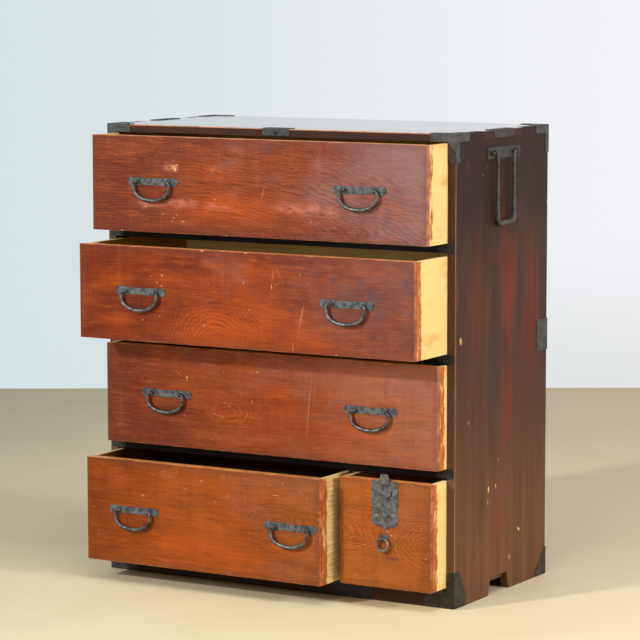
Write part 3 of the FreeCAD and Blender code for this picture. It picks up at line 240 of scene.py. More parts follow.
# Drawer fronts: tones from left to right, the strength of a painted sheen, the growth rings'
# figures, and marks of wear, with a painted shadow among the stains.
# A figure is its centre across and up, how much its rings are squeezed across, and how
# far from the centre it shows. A mark is its place from the front's lower left corner,
# its half length, its half height, its tilt in degrees and its strength. Lengths are in
# millimetres.
FRONTS = {
    1: {
        # the mauve-grey right tone is a painted reflection of the pale wall
        "tones": ((106, 49, 34), (126, 58, 36), (138, 103, 101)),
        "bloom": 0.65,
        "spacing": 6.2,
        "figures": [(140, -60, 0.3, 420)],
        "ring_strength": 0.27,
        "glow": [(340, 60, 230, 60, 0, 0.72), (300, 130, 120, 50, 0, 0.45)],
        "stain": [
            (155, 175, 70, 14, 32, 0.9), (110, 165, 30, 12, 38, 0.8), (240, 150, 50, 12, 15, 0.45),
            (300, 110, 120, 9, -3, 0.45), (370, 200, 400, 30, 0, 0.4), (90, 100, 100, 80, 0, 0.3),
            (560, 15, 200, 20, 0, 0.4), (260, 6, 300, 22, 0, 0.3),
        ],
        "worn": [
            (150, 60, 60, 13, -3, 0.95), (225, 64, 70, 14, 2, 0.9), (310, 61, 60, 12, -4, 0.7),
            (500, 63, 70, 19, -4, 0.95), (545, 66, 28, 20, 0, 1), (590, 60, 35, 17, 0, 0.9),
            (200, 140, 30, 16, 0, 0.95), (545, 36, 30, 8, 0, 0.3),
        ],
        "chips": [
            (210.2, 135, 4.2, 6.6, 10, 0.95), (188, 137, 3, 2, 0, 0.5), (207, 140, 10, 7, 10, 0.6),
            (214, 144, 4, 3.4, 20, 0.7), (229.3, 26.2, 5.4, 1.8, 0, 1), (202.2, 26.2, 5, 1, 0, 0.9),
            (213, 39, 3, 1.6, 20, 0.6), (206, 33, 2, 3, 0, 0.6), (307.9, 75.7, 1.8, 2.2, 0, 0.9),
            (478.1, 175.6, 1.8, 1.6, 0, 0.7), (541.1, 38.6, 2, 2.2, 0, 0.8),
            (555.5, 165.7, 4, 1.2, 30, 0.4), (597.7, 28.7, 1.8, 1.8, 0, 0.6),
            (250, 72, 1.6, 1.8, 0, 0.6), (136, 56, 4, 3, 0, 0.5), (74.6, 1.2, 3.6, 2, 0, 1),
            (335.7, 1.2, 3, 2, 0, 1), (599, 58, 3, 3, 0, 0.5), (115, 40, 2, 2, 0, 0.4),
            (180, 40, 2, 3, 0, 0.5),
        ],
        "scratches": [
            (426.2, 94, 1.2, 21, -17, 0.5), (301, 137, 0.8, 6, 20, 0.8),
            (308, 138.5, 0.8, 7, -30, 0.8), (309, 148, 0.6, 15, 25, 0.2),
        ],
        "blue": [
            (740, 105, 30, 22, 0, 0.3), (440, 178, 20, 12, 0, 0.35), (720, 50, 16, 30, 0, 0.3),
            (660, 110, 30, 30, 0, 0.25),
        ],
    },
    2: {
        # the greyer right tone is a painted reflection of the pale wall
        "tones": ((112, 42, 16), (148, 62, 24), (112, 65, 54)),
        "bloom": 0.28,
        "spacing": 6.6,
        "figures": [(345, -5, 0.8, 150)],
        "ring_strength": 0.36,
        "glow": [(380, 55, 170, 55, 5, 0.8), (80, 130, 60, 30, 0, 0.5), (100, 45, 70, 20, 0, 0.5)],
        "stain": [
            (270, 160, 120, 20, -4, 0.5), (245, 80, 45, 50, 0, 0.4), (400, 190, 400, 28, 0, 0.6),
            (140, 85, 100, 35, 0, 0.4), (540, 110, 80, 30, -6, 0.4), (380, 175, 90, 18, -14, 0.35),
            (160, 75, 45, 18, 0, 0.4), (610, 165, 100, 15, -4, 0.35),
        ],
        "worn": [(600, 40, 120, 25, 0, 0.12), (545, 55, 20, 40, 0, 0.2)],
        "chips": [
            (209.3, 142.7, 2.6, 3.4, 20, 0.75), (196.7, 126.7, 1.4, 4, 20, 0.8),
            (207.9, 120.3, 3, 2, 0, 0.7), (409.4, 138, 1.8, 3.4, 0, 0.85),
            (180, 140, 2.2, 2.2, 0, 0.5), (159.4, 46.5, 2.8, 2.4, 30, 0.6),
            (423.6, 82.3, 1.8, 4, 0, 0.5), (325, 129.7, 1.8, 1.4, 0, 0.7),
            (337.9, 115.6, 2.6, 1.4, 0, 0.5), (309, 199.5, 5, 3.6, 25, 1),
            (415.4, 199.5, 6, 2, 0, 0.9), (563.4, 145.5, 1.8, 1.8, 0, 0.8),
            (477.2, 132.7, 1.6, 7, 0, 0.85), (503.5, 141.7, 1.4, 1.6, 0, 0.8),
            (202.8, 56.9, 1.4, 3, 0, 0.6), (630, 2, 3, 2, 0, 0.9),
        ],
        "scratches": [
            (548, 75, 1.1, 36, -12, 0.75), (527.6, 12, 0.8, 15, 3, 0.6),
            (480, 157, 0.7, 24, -8, 0.6), (494, 161, 0.7, 21, 26, 0.55),
            (490, 138, 13, 0.7, 18, 0.35), (544.8, 160.5, 1.6, 5, 30, 0.4),
            (570, 50, 40, 0.6, -6, 0.3), (312.6, 44, 1.6, 6, -20, 0.7),
        ],
        "blue": [
            (314, 50, 3, 5, -15, 0.6), (624.6, 149.8, 16, 18, 0, 0.55),
            (689.3, 153.2, 18, 14, 0, 0.55), (719.7, 122.2, 26, 24, 0, 0.55),
            (733.1, 93.6, 22, 18, 0, 0.45), (789.9, 152.5, 12, 14, 0, 0.65),
            (753.1, 171.6, 20, 8, 0, 0.4), (650, 125, 50, 30, 0, 0.3), (325, 90, 20, 20, 0, 0.2),
        ],
    },
    3: {
        "tones": ((107, 51, 32), (148, 67, 30), (164, 99, 72)),
        "bloom": 0.35,
        "spacing": 6,
        "figures": [(310, 85, 0.45, 45)],
        "ring_strength": 0.22,
        "glow": [
            (310, 75, 120, 30, -2, 0.6), (450, 120, 90, 45, 0, 0.45), (620, 70, 120, 30, 0, 0.4),
        ],
        "stain": [
            (90, 120, 50, 40, 0, 0.35), (210, 85, 70, 20, 0, 0.4), (400, 110, 60, 40, 0, 0.25),
            # this band along the top is a painted shadow cast by drawer 2, which stands further out
            (360, 206, 460, 22, 0, 0.45),
        ],
        "worn": [(690, 150, 80, 45, 0, 0.3), (300, 30, 180, 12, 0, 0.2)],
        "chips": [
            (206.6, 151.8, 3, 3.4, 0, 1), (205, 145.2, 3, 1.4, 0, 1),
            (218.3, 151.3, 1.8, 2, 30, 0.7), (186.6, 159.9, 1.8, 1.8, 0, 0.8),
            (190, 154, 1.2, 1.2, 0, 0.7), (268.2, 87, 2, 1.8, 0, 0.7),
            (297.6, 169.7, 1.6, 1.6, 0, 0.7), (381.2, 174.8, 2, 2.4, 0, 0.8),
            (397.2, 196, 1.6, 1.8, 0, 0.8), (267.8, 23.4, 3.2, 1.6, 15, 0.7),
            (368.5, 111.5, 1.6, 3.6, 0, 0.6), (301.4, 103.8, 3, 1.4, 0, 0.55),
            (311.4, 98.1, 1.6, 4, 20, 0.55), (760, 50, 1.2, 1.2, 0, 0.6),
        ],
        "scratches": [
            (507, 106, 0.9, 95, -6, 0.6), (285, 76, 30, 1.1, -12, 0.5), (330, 68, 26, 1, 10, 0.45),
            (355, 80, 14, 1, 50, 0.4), (523, 150, 0.7, 40, -10, 0.2),
        ],
        "blue": [
            (687.9, 152.4, 8.5, 8.5, 0, 0.65), (772.3, 90.5, 20, 8, 0, 0.35),
            (713.5, 15.9, 16, 10, 0, 0.4), (468.8, 36.1, 7, 7, 0, 0.5),
        ],
    },
    4: {
        "tones": ((128, 58, 10), (150, 72, 15), (144, 76, 22)),
        "bloom": 0.15,
        "spacing": 5.8,
        "figures": [(10, 103, 0.8, 110), (470, 128, 0.4, 50)],
        "ring_strength": 0.27,
        "glow": [
            (100, 180, 50, 40, 0, 0.4), (300, 50, 220, 30, -4, 0.55), (500, 75, 60, 30, 0, 0.5),
        ],
        "stain": [
            (30, 130, 40, 80, 0, 0.35), (220, 140, 60, 30, 0, 0.3), (100, 225, 200, 22, 0, 0.4),
            (450, 125, 90, 30, 0, 0.25),
        ],
        "worn": [(520, 180, 60, 35, 0, 0.14), (200, 200, 45, 12, 0, 0.16)],
        "chips": [
            (292.3, 194.9, 3.6, 1.2, 0, 0.8), (144, 150.5, 3.4, 1.4, 0, 0.9),
            (251.1, 174.2, 1.8, 2.2, 0, 0.6), (356.1, 168.7, 6, 1, 0, 0.6),
            (345.5, 209.1, 8, 0.8, -8, 0.6), (575.5, 155.4, 1.6, 2, 0, 0.9),
            (575.5, 138.8, 1.6, 2.4, 0, 0.9), (60, 200, 1.6, 1.6, 0, 0.6),
            (420, 142, 1.2, 1.2, 0, 0.5), (565, 90, 1.6, 1.6, 0, 0.6),
        ],
        "scratches": [
            (473.9, 180.5, 12, 1, -1, 0.8), (490.7, 206.1, 1.2, 8, -20, 0.6),
            (459.5, 201.2, 8, 0.9, 20, 0.5), (195, 206, 9, 1, 35, 0.5),
            (212, 196, 8, 0.9, -40, 0.5), (230, 208, 7, 0.9, 60, 0.4), (535, 190, 1, 10, 40, 0.4),
            (550, 180, 0.8, 12, -15, 0.3),
        ],
        "blue": [
            (185.1, 82.1, 1.8, 1.8, 0, 1), (191.8, 82.8, 1.8, 1.8, 0, 0.9),
            (54, 29, 0.5, 29, 0, 0.9), (500, 205, 50, 12, 0, 0.2),
        ],
    },
    5: {
        "tones": ((166, 93, 33), (166, 92, 33), (158, 84, 27)),
        "bloom": 0.1,
        "spacing": 5.5,
        "figures": [(214, 97, 0.6, 110), (-20, 114, 0.4, 90)],
        "ring_strength": 0.34,
        "glow": [(60, 130, 50, 50, 0, 0.4), (190, 70, 30, 40, 0, 0.4)],
        "stain": [(120, 65, 30, 20, 0, 0.35), (100, 205, 90, 12, 0, 0.3)],
        "worn": [(130, 110, 12, 8, 30, 0.5), (170, 215, 40, 8, 0, 0.15)],
        "chips": [
            (112.2, 117.8, 3.2, 2.4, -30, 0.7), (121.4, 111.4, 2.2, 3, 0, 1),
            (58, 86.4, 2.6, 2, 30, 0.7), (202, 70.8, 1.8, 1.8, 0, 0.8),
            (191.2, 130.9, 1.4, 1.6, 0, 0.7), (38.3, 20.9, 1.8, 1.8, 0, 0.8),
            (63.8, 199.3, 1.8, 1.6, 0, 0.7), (169.2, 218.3, 5, 1.4, 0, 0.5),
            (72, 56, 1.4, 1.4, 0, 0.5), (128, 115, 1.2, 1.4, 0, 0.7),
        ],
        "scratches": [(90, 75, 30, 0.6, -35, 0.25)],
        "blue": [(120.4, 6.2, 4, 1.2, 0, 0.8), (130, 60, 14, 10, 0, 0.35)],
        # painted shade, where the front shows through the lock plate's openings
        "dark": [(119, 196, 11, 15, 0, 1)],
    },
}
# WALL_SHEEN is a painted reflection of the pale wall on the lacquer
WALL_SHEEN = paint(140, 108, 108)
WORN = paint(192, 116, 98)
SCRATCH = paint(222, 156, 112)
CHIP = paint(228, 174, 112)
DARK_GRAIN = paint(78, 26, 14)
STAIN_AND_SHADOW = paint(76, 26, 20)
BLUE_STAIN = paint(84, 70, 78)
GLOW = paint(190, 84, 22)
BRUSHED = paint(190, 100, 60)
MOTTLED = paint(188, 90, 34)
BLOTCHED = paint(190, 96, 44)
EARLY_WOOD = paint(196, 96, 36)
PALE_FIBRE = paint(200, 104, 46)
PALE_GRAIN = paint(206, 104, 40)
WIPED = paint(206, 118, 72)
RIM = paint(98, 54, 42)
SPECK = paint(222, 156, 100)
WORN_ARRIS = paint(200, 132, 88)
RUBBED_TOP = paint(206, 140, 76)
# HOLE_SHADE is painted shade in holes and openings
HOLE_SHADE = paint(12, 9, 8)


def front_material(number):
    """Lacquered wood: growth rings and fibres under a worn, partly greyed red lacquer."""
    look = FRONTS[number]
    low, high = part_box(f"drawer_{number}_front")
    width, height = high.x - low.x, high.z - low.z
    sh = Shader(f"lacquered_front_{number}", Specular_IOR_Level=0.13)
    u, v = sh.x - low.x, sh.z - low.z
    shift = (number * 3.1, number * 1.7, number * 5.3)

    def spots(kind, softness, place=None):
        return sh.marks(
            [
                (
                    (low.x + across * MM, 0, low.z + up * MM), (long * MM, None, tall * MM),
                    (0, tilt, 0), strength,
                )
                for across, up, long, tall, tilt, strength in look[kind]
            ],
            softness, place,
        )

    # the tone changes from left to right, with soft blotches and upright brush marks
    blotch = sh.noise((6, 6, 12), 4, 0.6, shift)
    brush = sh.noise((46, 46, 3), 3, 0.6, shift)
    cloud = sh.noise((8, 8, 12), 5, 0.65, (shift[1], shift[2], shift[0]))
    fine_blotch = sh.noise((26, 26, 90), 4, 0.7, shift)
    mottle = sh.noise((8, 8, 24), 5, 0.65, (shift[1], shift[0], shift[2]))
    share = u / width + (blotch - 0.5) * 0.8
    left, middle, right = [paint(*tone) for tone in look["tones"]]
    tone = sh.mix(share.spread(0.05, 0.48), left, middle)
    tone = sh.mix(share.spread(0.55, 1.0), tone, right)
    tone = sh.mix(spots("glow", 0.9) * blotch.spread(0.2, 0.7), tone, GLOW)
    # dark stains, and on drawer 3 a painted shadow along the top
    soft_stain_and_shadow = spots("stain", 0.9) * fine_blotch.spread(0.25, 0.60)
    tone = sh.mix(soft_stain_and_shadow, tone, STAIN_AND_SHADOW)
    tone = sh.shaded(tone, brush, (0.50, 0.75, 0.18, STAIN_AND_SHADOW), (0.46, 0.25, 0.14, BRUSHED))
    tone = sh.shaded(tone, mottle, (0.50, 0.75, 0.44, STAIN_AND_SHADOW), (0.50, 0.28, 0.30, MOTTLED))
    tone = sh.shaded(tone, fine_blotch, (0.50, 0.85, 0.30, STAIN_AND_SHADOW), (0.50, 0.20, 0.22, BLOTCHED))

    # growth rings, cut by the board's face at a slope
    wander = sh.noise((3.5, 3.5, 12), 3, 0.5, shift)
    ripple = sh.noise((26, 26, 50), 3, 0.6, shift)
    fibre = sh.noise((16, 16, 700), 4, 0.65, shift)
    bend = (wander - 0.5) * 0.060 + (ripple - 0.5) * 0.0095
    broken = (blotch * 0.7 + fine_blotch * 1.1 - 0.3) * look["ring_strength"]
    spacing = look["spacing"] * MM
    rings, patches = [], []
    for across, up, squeeze, reach in look["figures"]:
        deep, side = (u - across * MM) * squeeze, v - up * MM
        radius = sh.math("SQRT", deep * deep + side * side)
        ring = sh.math("FRACT", (radius + bend) / spacing)
        patches.append(radius.spread(reach * MM, reach * MM * 0.55))
        rings.append(ring.spread(0.15, 0.85) * ring.spread(1.0, 0.90) * patches[-1])
    shown = sh.larger(*patches)
    flat = sh.math("FRACT", (v + bend * 0.8 + u * 0.02) / (spacing * 0.8))
    flat = flat.spread(0.1, 0.8) * flat.spread(1.0, 0.85) * (1 - shown)
    late = sh.larger(*rings) + flat * ripple.spread(0.35, 0.65, 0.45)
    colour = sh.mix(late * broken * 1.5, tone, DARK_GRAIN)
    colour = sh.mix((shown - late) * broken * 0.45, colour, EARLY_WOOD)
    grain = sh.noise((15, 15, 250), 5, 0.75, (shift[2], shift[0], shift[1]))
    colour = sh.shaded(
        colour, fibre, (0.50, 0.74, 0.30, DARK_GRAIN), (0.46, 0.28, 0.22, PALE_FIBRE)
    )
    colour = sh.shaded(
        colour, grain, (0.50, 0.72, 0.34, DARK_GRAIN), (0.50, 0.30, 0.22, PALE_GRAIN)
    )
    wipe = sh.noise((190, 190, 9), 3, 0.7, (shift[1], shift[2], shift[0]))
    wiped = cloud.spread(0.45, 0.65)
    colour = sh.mix(wipe.spread(0.52, 0.75, 0.20) * wiped, colour, DARK_GRAIN)
    colour = sh.mix(wipe.spread(0.46, 0.28, 0.10) * wiped, colour, WIPED)

    # a painted sheen, standing for a reflection of the pale wall, greys the lacquer towards the top
    # and right; blue stains beside the irons; a dulled rim
    sheen_drift = (u / width) * 0.62 + (v / height) * 0.26 + (cloud - 0.5) * 1.6
    colour = sh.mix(sheen_drift.spread(0.45, 1.05, look["bloom"]), colour, WALL_SHEEN)
    ragged = sh.trembling(70, 0.012)
    colour = sh.mix(spots("blue", 0.8, sh.trembling(28, 0.030)), colour, BLUE_STAIN)
    # painted shade in the lock's openings
    if "dark" in look:
        colour = sh.mix(spots("dark", 0.1), colour, HOLE_SHADE)
    border = sh.smaller(u, width - u, v, height - v)
    colour = sh.mix(border.spread(0.020, 0.0, 0.35), colour, RIM)

    # rubbed places, scratches, chips, specks and a worn arris
    scuff = sh.noise((60, 60, 150), 4, 0.7, shift)
    colour = sh.mix(spots("worn", 0.9, ragged) * scuff.spread(0.30, 0.62, 0.80), colour, WORN)
    fray = sh.noise((300, 300, 300), 3, 0.7, shift)
    colour = sh.mix(spots("scratches", 0.7) * fray.spread(0.30, 0.50), colour, SCRATCH)
    torn = sh.trembling(330, 0.003)
    crumb = sh.noise((640, 640, 640), 2, 0.6, shift).spread(0.38, 0.54, 0.70) + 0.30
    colour = sh.mix(spots("chips", 0.65, torn) * crumb, colour, CHIP)
    crowd = sh.noise((11, 11, 16), 2, 0.5, (shift[2], shift[1], shift[0])).spread(0.48, 0.66)
    speck = sh.noise((380, 380, 440), 1, 0.5, shift).spread(0.71, 0.78)
    colour = sh.mix(speck * (crowd * 0.65 + 0.08), colour, SPECK)
    edge = border + (fray - 0.5) * 0.004
    gaps = sh.noise((35, 35, 35), 3, 0.7, shift).spread(0.40, 0.62)
    colour = sh.mix(edge.spread(0.0016, 0.0006) * (gaps * 0.6 + 0.12), colour, WORN_ARRIS)

    # the top edge is rubbed to an orange line, and the inside of the board is bare
    rubbed = (sh.z - high.z + 0.0004).spread(0.0, 0.0002)
    colour = sh.mix(rubbed * (gaps * 0.4 + 0.45), colour, RUBBED_TOP)
    bare = sh.mix(fibre.spread(0.35, 0.75), paint(206, 168, 98), paint(170, 126, 66))
    colour = sh.mix((high.y - sh.y).spread(0.0005, 0.0001), colour, bare)

    rough = (cloud - 0.5) * 0.3 + sheen_drift.spread(0.45, 1.05, 0.12) + 0.40
    tall = fibre * 0.35 - late * 0.4 - soft_stain_and_shadow * 0.2 + fray * 0.15
    return sh.finish(colour, rough, tall, 0.0004, 0.55)


# Drawer sides: how streaky the wood is, how far back the lacquer runs, how sparse it is
SIDE_LOOKS = {1: (0.08, 0.026, 0.08), 3: (0.08, 0.032, 0.0), 4: (0.50, 0.029, 0.0)}
COMMON_SIDE = (0.08, 0.029, 0.0)
FRONT_LAP = 0.010
INNER_FACE = 0.0098


def pale_side_material(number):
    """A drawer's side: pale wood, with the front's lacquer run over its first 3 cm."""
    low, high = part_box(f"drawer_{number}_sides")
    streaky, reach, sparse = SIDE_LOOKS.get(number, COMMON_SIDE)
    sh = Shader(f"pale_side_{number}", 0.62, Specular_IOR_Level=0.25)
    shift = (number * 2.3, number * 0.7, number * 4.1)
    behind = sh.y - low.y + FRONT_LAP
    wander = sh.noise((6, 9, 60), 3, 0.55, shift)
    line = sh.math("FRACT", (sh.z + (wander - 0.5) * 0.030) * 105)
    late = line.spread(0.2, 0.9) * line.spread(1.0, 0.92)
    fibre = sh.noise((20, 18, 700), 4, 0.6, shift)
    glow = sh.noise((6, 10, 22), 4, 0.6, shift)
    colour = sh.mix(late * glow * streaky * 1.6, paint(244, 212, 140), paint(196, 140, 64))
    colour = sh.mix(fibre.spread(0.5, 0.85, 0.28), colour, paint(196, 144, 70))
    colour = sh.mix(glow.spread(0.52, 0.74, 0.55), colour, paint(220, 152, 74))

    # the lacquer's wavy edge, thin where the brush left off
    wave = sh.noise((4, 4, 22), 5, 0.6, (shift[1], 0, shift[0]))
    edge = behind + (wave - 0.5) * 0.032
    thin = sh.noise((30, 70, 26), 4, 0.65, shift)
    cover = edge.spread(reach + 0.001, reach - 0.003)
    cover = cover * (thin.spread(0.34 + sparse, 0.50 + sparse, 0.75) + 0.22)
    stained = sh.mix(fibre.spread(0.35, 0.8), paint(210, 112, 48), paint(150, 62, 26))
    stained = sh.mix(thin.spread(0.45, 0.70, 0.6), stained, paint(134, 58, 32))
    colour = sh.mix(cover, colour, stained)

    # bare inner faces are older and duller; drawer 4's are darker still, a painted shade inside that
    # drawer
    outward = sh.math("ABSOLUTE", sh.x - (low.x + high.x) / 2)
    inward = outward - (high.x - low.x) / 2 + INNER_FACE
    inner_age_and_shade = paint(150, 116, 70) if number == 4 else paint(214, 192, 136)
    colour = sh.mix(inward.spread(0.0004, 0.0), colour, inner_age_and_shade, "MULTIPLY")
    # drawer 4's whole side is darkened, a painted shade
    if number == 4:
        colour = sh.mix(1.0, colour, (0.80, 0.84, 0.86, 1), "MULTIPLY")
    # a painted highlight along the top edge
    top = (high.z - sh.z).spread(0.0012, 0.0004)
    colour = sh.mix(top * 0.5, colour, paint(238, 214, 150))
    tall = fibre * 0.5 - late * 0.4
    return sh.finish(colour, wander * 0.2 + 0.5, tall, 0.0003, 0.5)


def board_material(name, colours, along, dull):
    """Plain sawn boards with grain along X or Z, from pale to dark."""
    sh = Shader(name, 0.65, Specular_IOR_Level=0.25)
    stretch = {"X": (10, 120, 520), "Z": (520, 120, 10)}[along]
    broad = {"X": (2, 16, 46), "Z": (46, 16, 2)}[along]
    fibre = sh.noise(stretch, 3, 0.6)
    streak = sh.noise(broad, 3, 0.55, (3, 1, 7))
    blotch = sh.noise((6, 6, 6), 3, 0.5, (9, 2, 4))
    colour = sh.mix(streak.spread(0.35, 0.68), paint(*colours[0]), paint(*colours[1]))
    colour = sh.mix(fibre.spread(0.45, 0.8, 0.6), colour, paint(*colours[2]))
    colour = sh.mix(blotch.spread(0.48, 0.72, dull), colour, paint(*colours[2]))
    return sh.finish(colour, streak * 0.2 + 0.5, fibre, 0.0003, 0.5)


# Marks on the right side panel: place along Y and Z and half sizes in millimetres, turn
# and strength.
RED_STREAKS = [
    (235, 640, 45, 190, 0, 0.55), (345, 580, 65, 210, 0, 0.6), (215, 760, 15, 100, 0, 0.4),
    (100, 660, 30, 140, 0, 0.2), (200, 700, 12, 100, 0, 0.5), (50, 600, 20, 100, 0, 0.3),
    (190, 880, 12, 60, 0, 0.5), (235, 400, 30, 160, 0, 0.5), (190, 160, 40, 120, 0, 0.4),
    (45, 900, 8, 20, 0, 0.8),
]
SLATE_STREAKS = [
    (165, 420, 30, 180, 0, 0.75), (415, 720, 20, 250, 0, 0.8), (16, 660, 14, 340, 0, 0.9),
    (208, 530, 8, 60, 0, 0.7), (340, 860, 50, 70, 0, 0.5), (120, 200, 18, 120, 0, 0.4),
    (75, 360, 12, 160, 0, 0.4), (300, 220, 10, 160, 0, 0.35), (385, 320, 12, 200, 0, 0.4),
    (235, 130, 10, 100, 0, 0.3),
]
SIDE_CHIPS = [
    (23.8, 552.1, 6, 10, 0, 0.75), (151.9, 226.7, 3.8, 8, 0, 1), (184.4, 229, 3.2, 6, 12, 0.9),
    (148.5, 199.9, 2.6, 8, -8, 0.45), (292.5, 120, 8, 3.6, 25, 1), (250.1, 67, 3, 5, 0, 0.7),
    (195.7, 283.6, 3, 2.6, 0, 0.45), (60.8, 379.3, 3, 6, 0, 0.3), (138.9, 902.8, 2, 3, 0, 0.2),
    (118.9, 885.5, 2.4, 3.4, 0, 0.22), (421, 810, 4, 5, 0, 0.8), (421.5, 600, 3, 4, 0, 0.6),
]

# How far below the top the plate's round hole lies, and how far down the polish goes
HOLE_DROP = 0.009
POLISH_DEPTH = 0.0004


def case_material(name, along, polished=False, marked=False, painted_shade=1.0, holes=None, upper_shade_share=0.88):
    """Dark lacquer over streaky wood, redder in the middle, with painted light: darker towards the
    top and paler towards the bottom.

    The right side panel is marked with its own streaks and chips, given along Y and Z.
    """
    sh = Shader(name, Specular_IOR_Level=0.14, Coat_Roughness=0.08, Coat_IOR=1.6)
    broad = {"X": (1.5, 26, 40), "Z": (34, 34, 1.6)}[along]
    fine = {"X": (8, 300, 420), "Z": (420, 420, 6)}[along]
    streak = sh.noise(broad, 5, 0.62, (2, 5, 1))
    fibre = sh.noise(fine, 3, 0.6, (4, 2, 8))
    blotch = sh.noise((5, 6, 3.5), 4, 0.55, (1, 8, 3))

    def side_marks(spots, softness, place):
        return sh.marks(
            [
                ((0, back * MM, up * MM), (None, deep * MM, tall * MM), (turn, 0, 0), strength)
                for back, up, deep, tall, turn, strength in spots
            ],
            softness, place,
        )

    colour = sh.mix(streak.spread(0.30, 0.70), paint(56, 32, 24), paint(90, 52, 34))
    # painted light: paler towards the bottom and darker towards the top
    low = (sh.z + (streak - 0.5) * 0.4).spread(0.55, 0.05)
    colour = sh.mix(low * (streak.spread(0.34, 0.62, 0.26) + 0.46), colour, paint(124, 82, 52))
    upper_shade = (sh.z + (blotch - 0.5) * 0.3 + (streak - 0.5) * 0.3).spread(0.62, 0.86)
    colour = sh.mix(upper_shade * upper_shade_share, colour, paint(33, 19, 16))
    if marked:
        flow = streak.spread(0.25, 0.60, 0.7) + 0.3
        drifting = sh.trembling(9, 0.06)
        for spots, tint in (
            (RED_STREAKS, paint(126, 46, 8)), (SLATE_STREAKS, paint(44, 38, 34))
        ):
            colour = sh.mix(side_marks(spots, 0.95, drifting) * flow, colour, tint)
    else:
        red = streak.spread(0.52, 0.70) * blotch.spread(0.42, 0.62)
        colour = sh.mix(red * 0.5, colour, paint(110, 44, 22))
    colour = sh.shaded(
        colour, fibre, (0.48, 0.8, 0.35, paint(36, 22, 17)), (0.45, 0.25, 0.20, paint(128, 84, 56))
    )

    # chips and specks down to pale wood
    if marked:
        colour = sh.mix(side_marks(SIDE_CHIPS, 0.5, sh.trembling(260, 0.004)), colour, CHIP)
    crowd = sh.noise((9, 9, 6), 2, 0.5, (7, 1, 2)).spread(0.50, 0.66)
    speck = sh.noise((300, 300, 200), 1, 0.5, (5, 5, 5)).spread(0.74, 0.80)
    colour = sh.mix(speck * (crowd * 0.6 + 0.14), colour, paint(176, 124, 84))

    # worn upright arrises at the case's front corners
    near = sh.larger(sh.math("ABSOLUTE", sh.math("ABSOLUTE", sh.x) - CASE_SIDE), sh.y)
    fray = sh.noise((60, 60, 16), 4, 0.7, (6, 1, 4))
    worn = (near + (fray - 0.5) * 0.004).spread(0.0026, 0.0010)
    colour = sh.mix(worn * (fray.spread(0.4, 0.6, 0.50) + 0.30), colour, paint(186, 150, 124))
    front = (sh.y + (fray - 0.5) * 0.0004).spread(0.0009, 0.0004)
    if along == "Z":
        colour = sh.mix(front * (streak.spread(0.3, 0.6, 0.5) + 0.35), colour, paint(84, 62, 54))
        colour = sh.mix(front * low * 0.7, colour, paint(122, 86, 62))
    # painted shade in the plate's round hole
    if holes:
        colour = sh.mix(sh.marks(holes, 0.1), colour, HOLE_SHADE)
    # painted shade: a darker copy for parts that lie in shade
    if painted_shade < 1:
        colour = sh.mix(1.0, colour, (painted_shade, painted_shade, painted_shade, 1), "MULTIPLY")
    rough = (streak - 0.5) * 0.25 + blotch * 0.12 + 0.44

    # the top is polished, and its front arris is rubbed to an orange line
    if polished:
        arris = sh.larger(sh.y + 0.0010, CASE_TOP - sh.z) + (fray - 0.5) * 0.0016
        arris = arris.spread(0.0026, 0.0018) * (fray.spread(0.35, 0.55, 0.55) + 0.35)
        colour = sh.mix(arris, colour, paint(206, 150, 112))
        polish = (sh.z - (CASE_TOP - POLISH_DEPTH)).spread(0.0, 0.0002) * (1 - arris)
        sh.feed(sh.surface.inputs["Coat Weight"], polish)
        return sh.finish(colour, rough - polish * 0.2, streak, 0.0004, 0.12)
    return sh.finish(colour, rough, fibre * 0.5 + streak * 0.5, 0.0004, 0.4)


def iron_material(name, dark, light, rust, scale=1.0, metal=0.35, shine=0.0, holes=None):
    """Hammered iron with a dull patina, paler where it is rubbed and a little rusted."""
    sh = Shader(name, Metallic=metal, Specular_IOR_Level=0.35)
    hammer = sh.noise((70 * scale,) * 3, 3, 0.55)
    grit = sh.noise((420 * scale,) * 3, 3, 0.6)
    blotch = sh.noise((30 * scale,) * 3, 3, 0.6, (3, 7, 1))
    colour = sh.mix(hammer.spread(0.34, 0.66), paint(*dark), paint(*light))
    colour = sh.shaded(
        colour, grit, (0.56, 0.78, 0.40, paint(160, 156, 148)), (0.44, 0.26, 0.55, paint(34, 31, 30))
    )
    colour = sh.mix(blotch.spread(0.52, 0.72, rust), colour, paint(116, 76, 46))
    # painted shade in the plate's round hole
    if holes:
        colour = sh.mix(sh.marks(holes, 0.2), colour, HOLE_SHADE)
    rough = blotch * 0.25 + grit * 0.15 + 0.42 - shine
    return sh.finish(colour, rough, hammer * 0.8 + grit * 0.4, 0.0008, 0.5)


def plate_hole_shade(radius):
    """The place of the painted shade in the round hole of the plate on the top's front edge."""
    return [((0, 0, CASE_TOP - HOLE_DROP), (radius, None, radius), (0, 0, 0), 1.0)]


def dress(material, *names):
    """Gives the nodes their material."""
    for name in names:
        nodes[name].material_slots[0].material = material


pale_boards = board_material(
    "pale_boards", ((232, 200, 122), (212, 172, 94), (166, 124, 62)), "X", 0.3
)
rough_boards = board_material(
    "rough_boards", ((120, 84, 50), (92, 60, 34), (58, 36, 22)), "X", 0.4
)
back_wood = board_material(
    "back_wood", ((158, 124, 84), (126, 92, 58), (84, 60, 38)), "Z", 0.4
)
right_lacquer = case_material("right_side_lacquer", "Z", marked=True)
left_lacquer = case_material("left_side_lacquer", "Z")
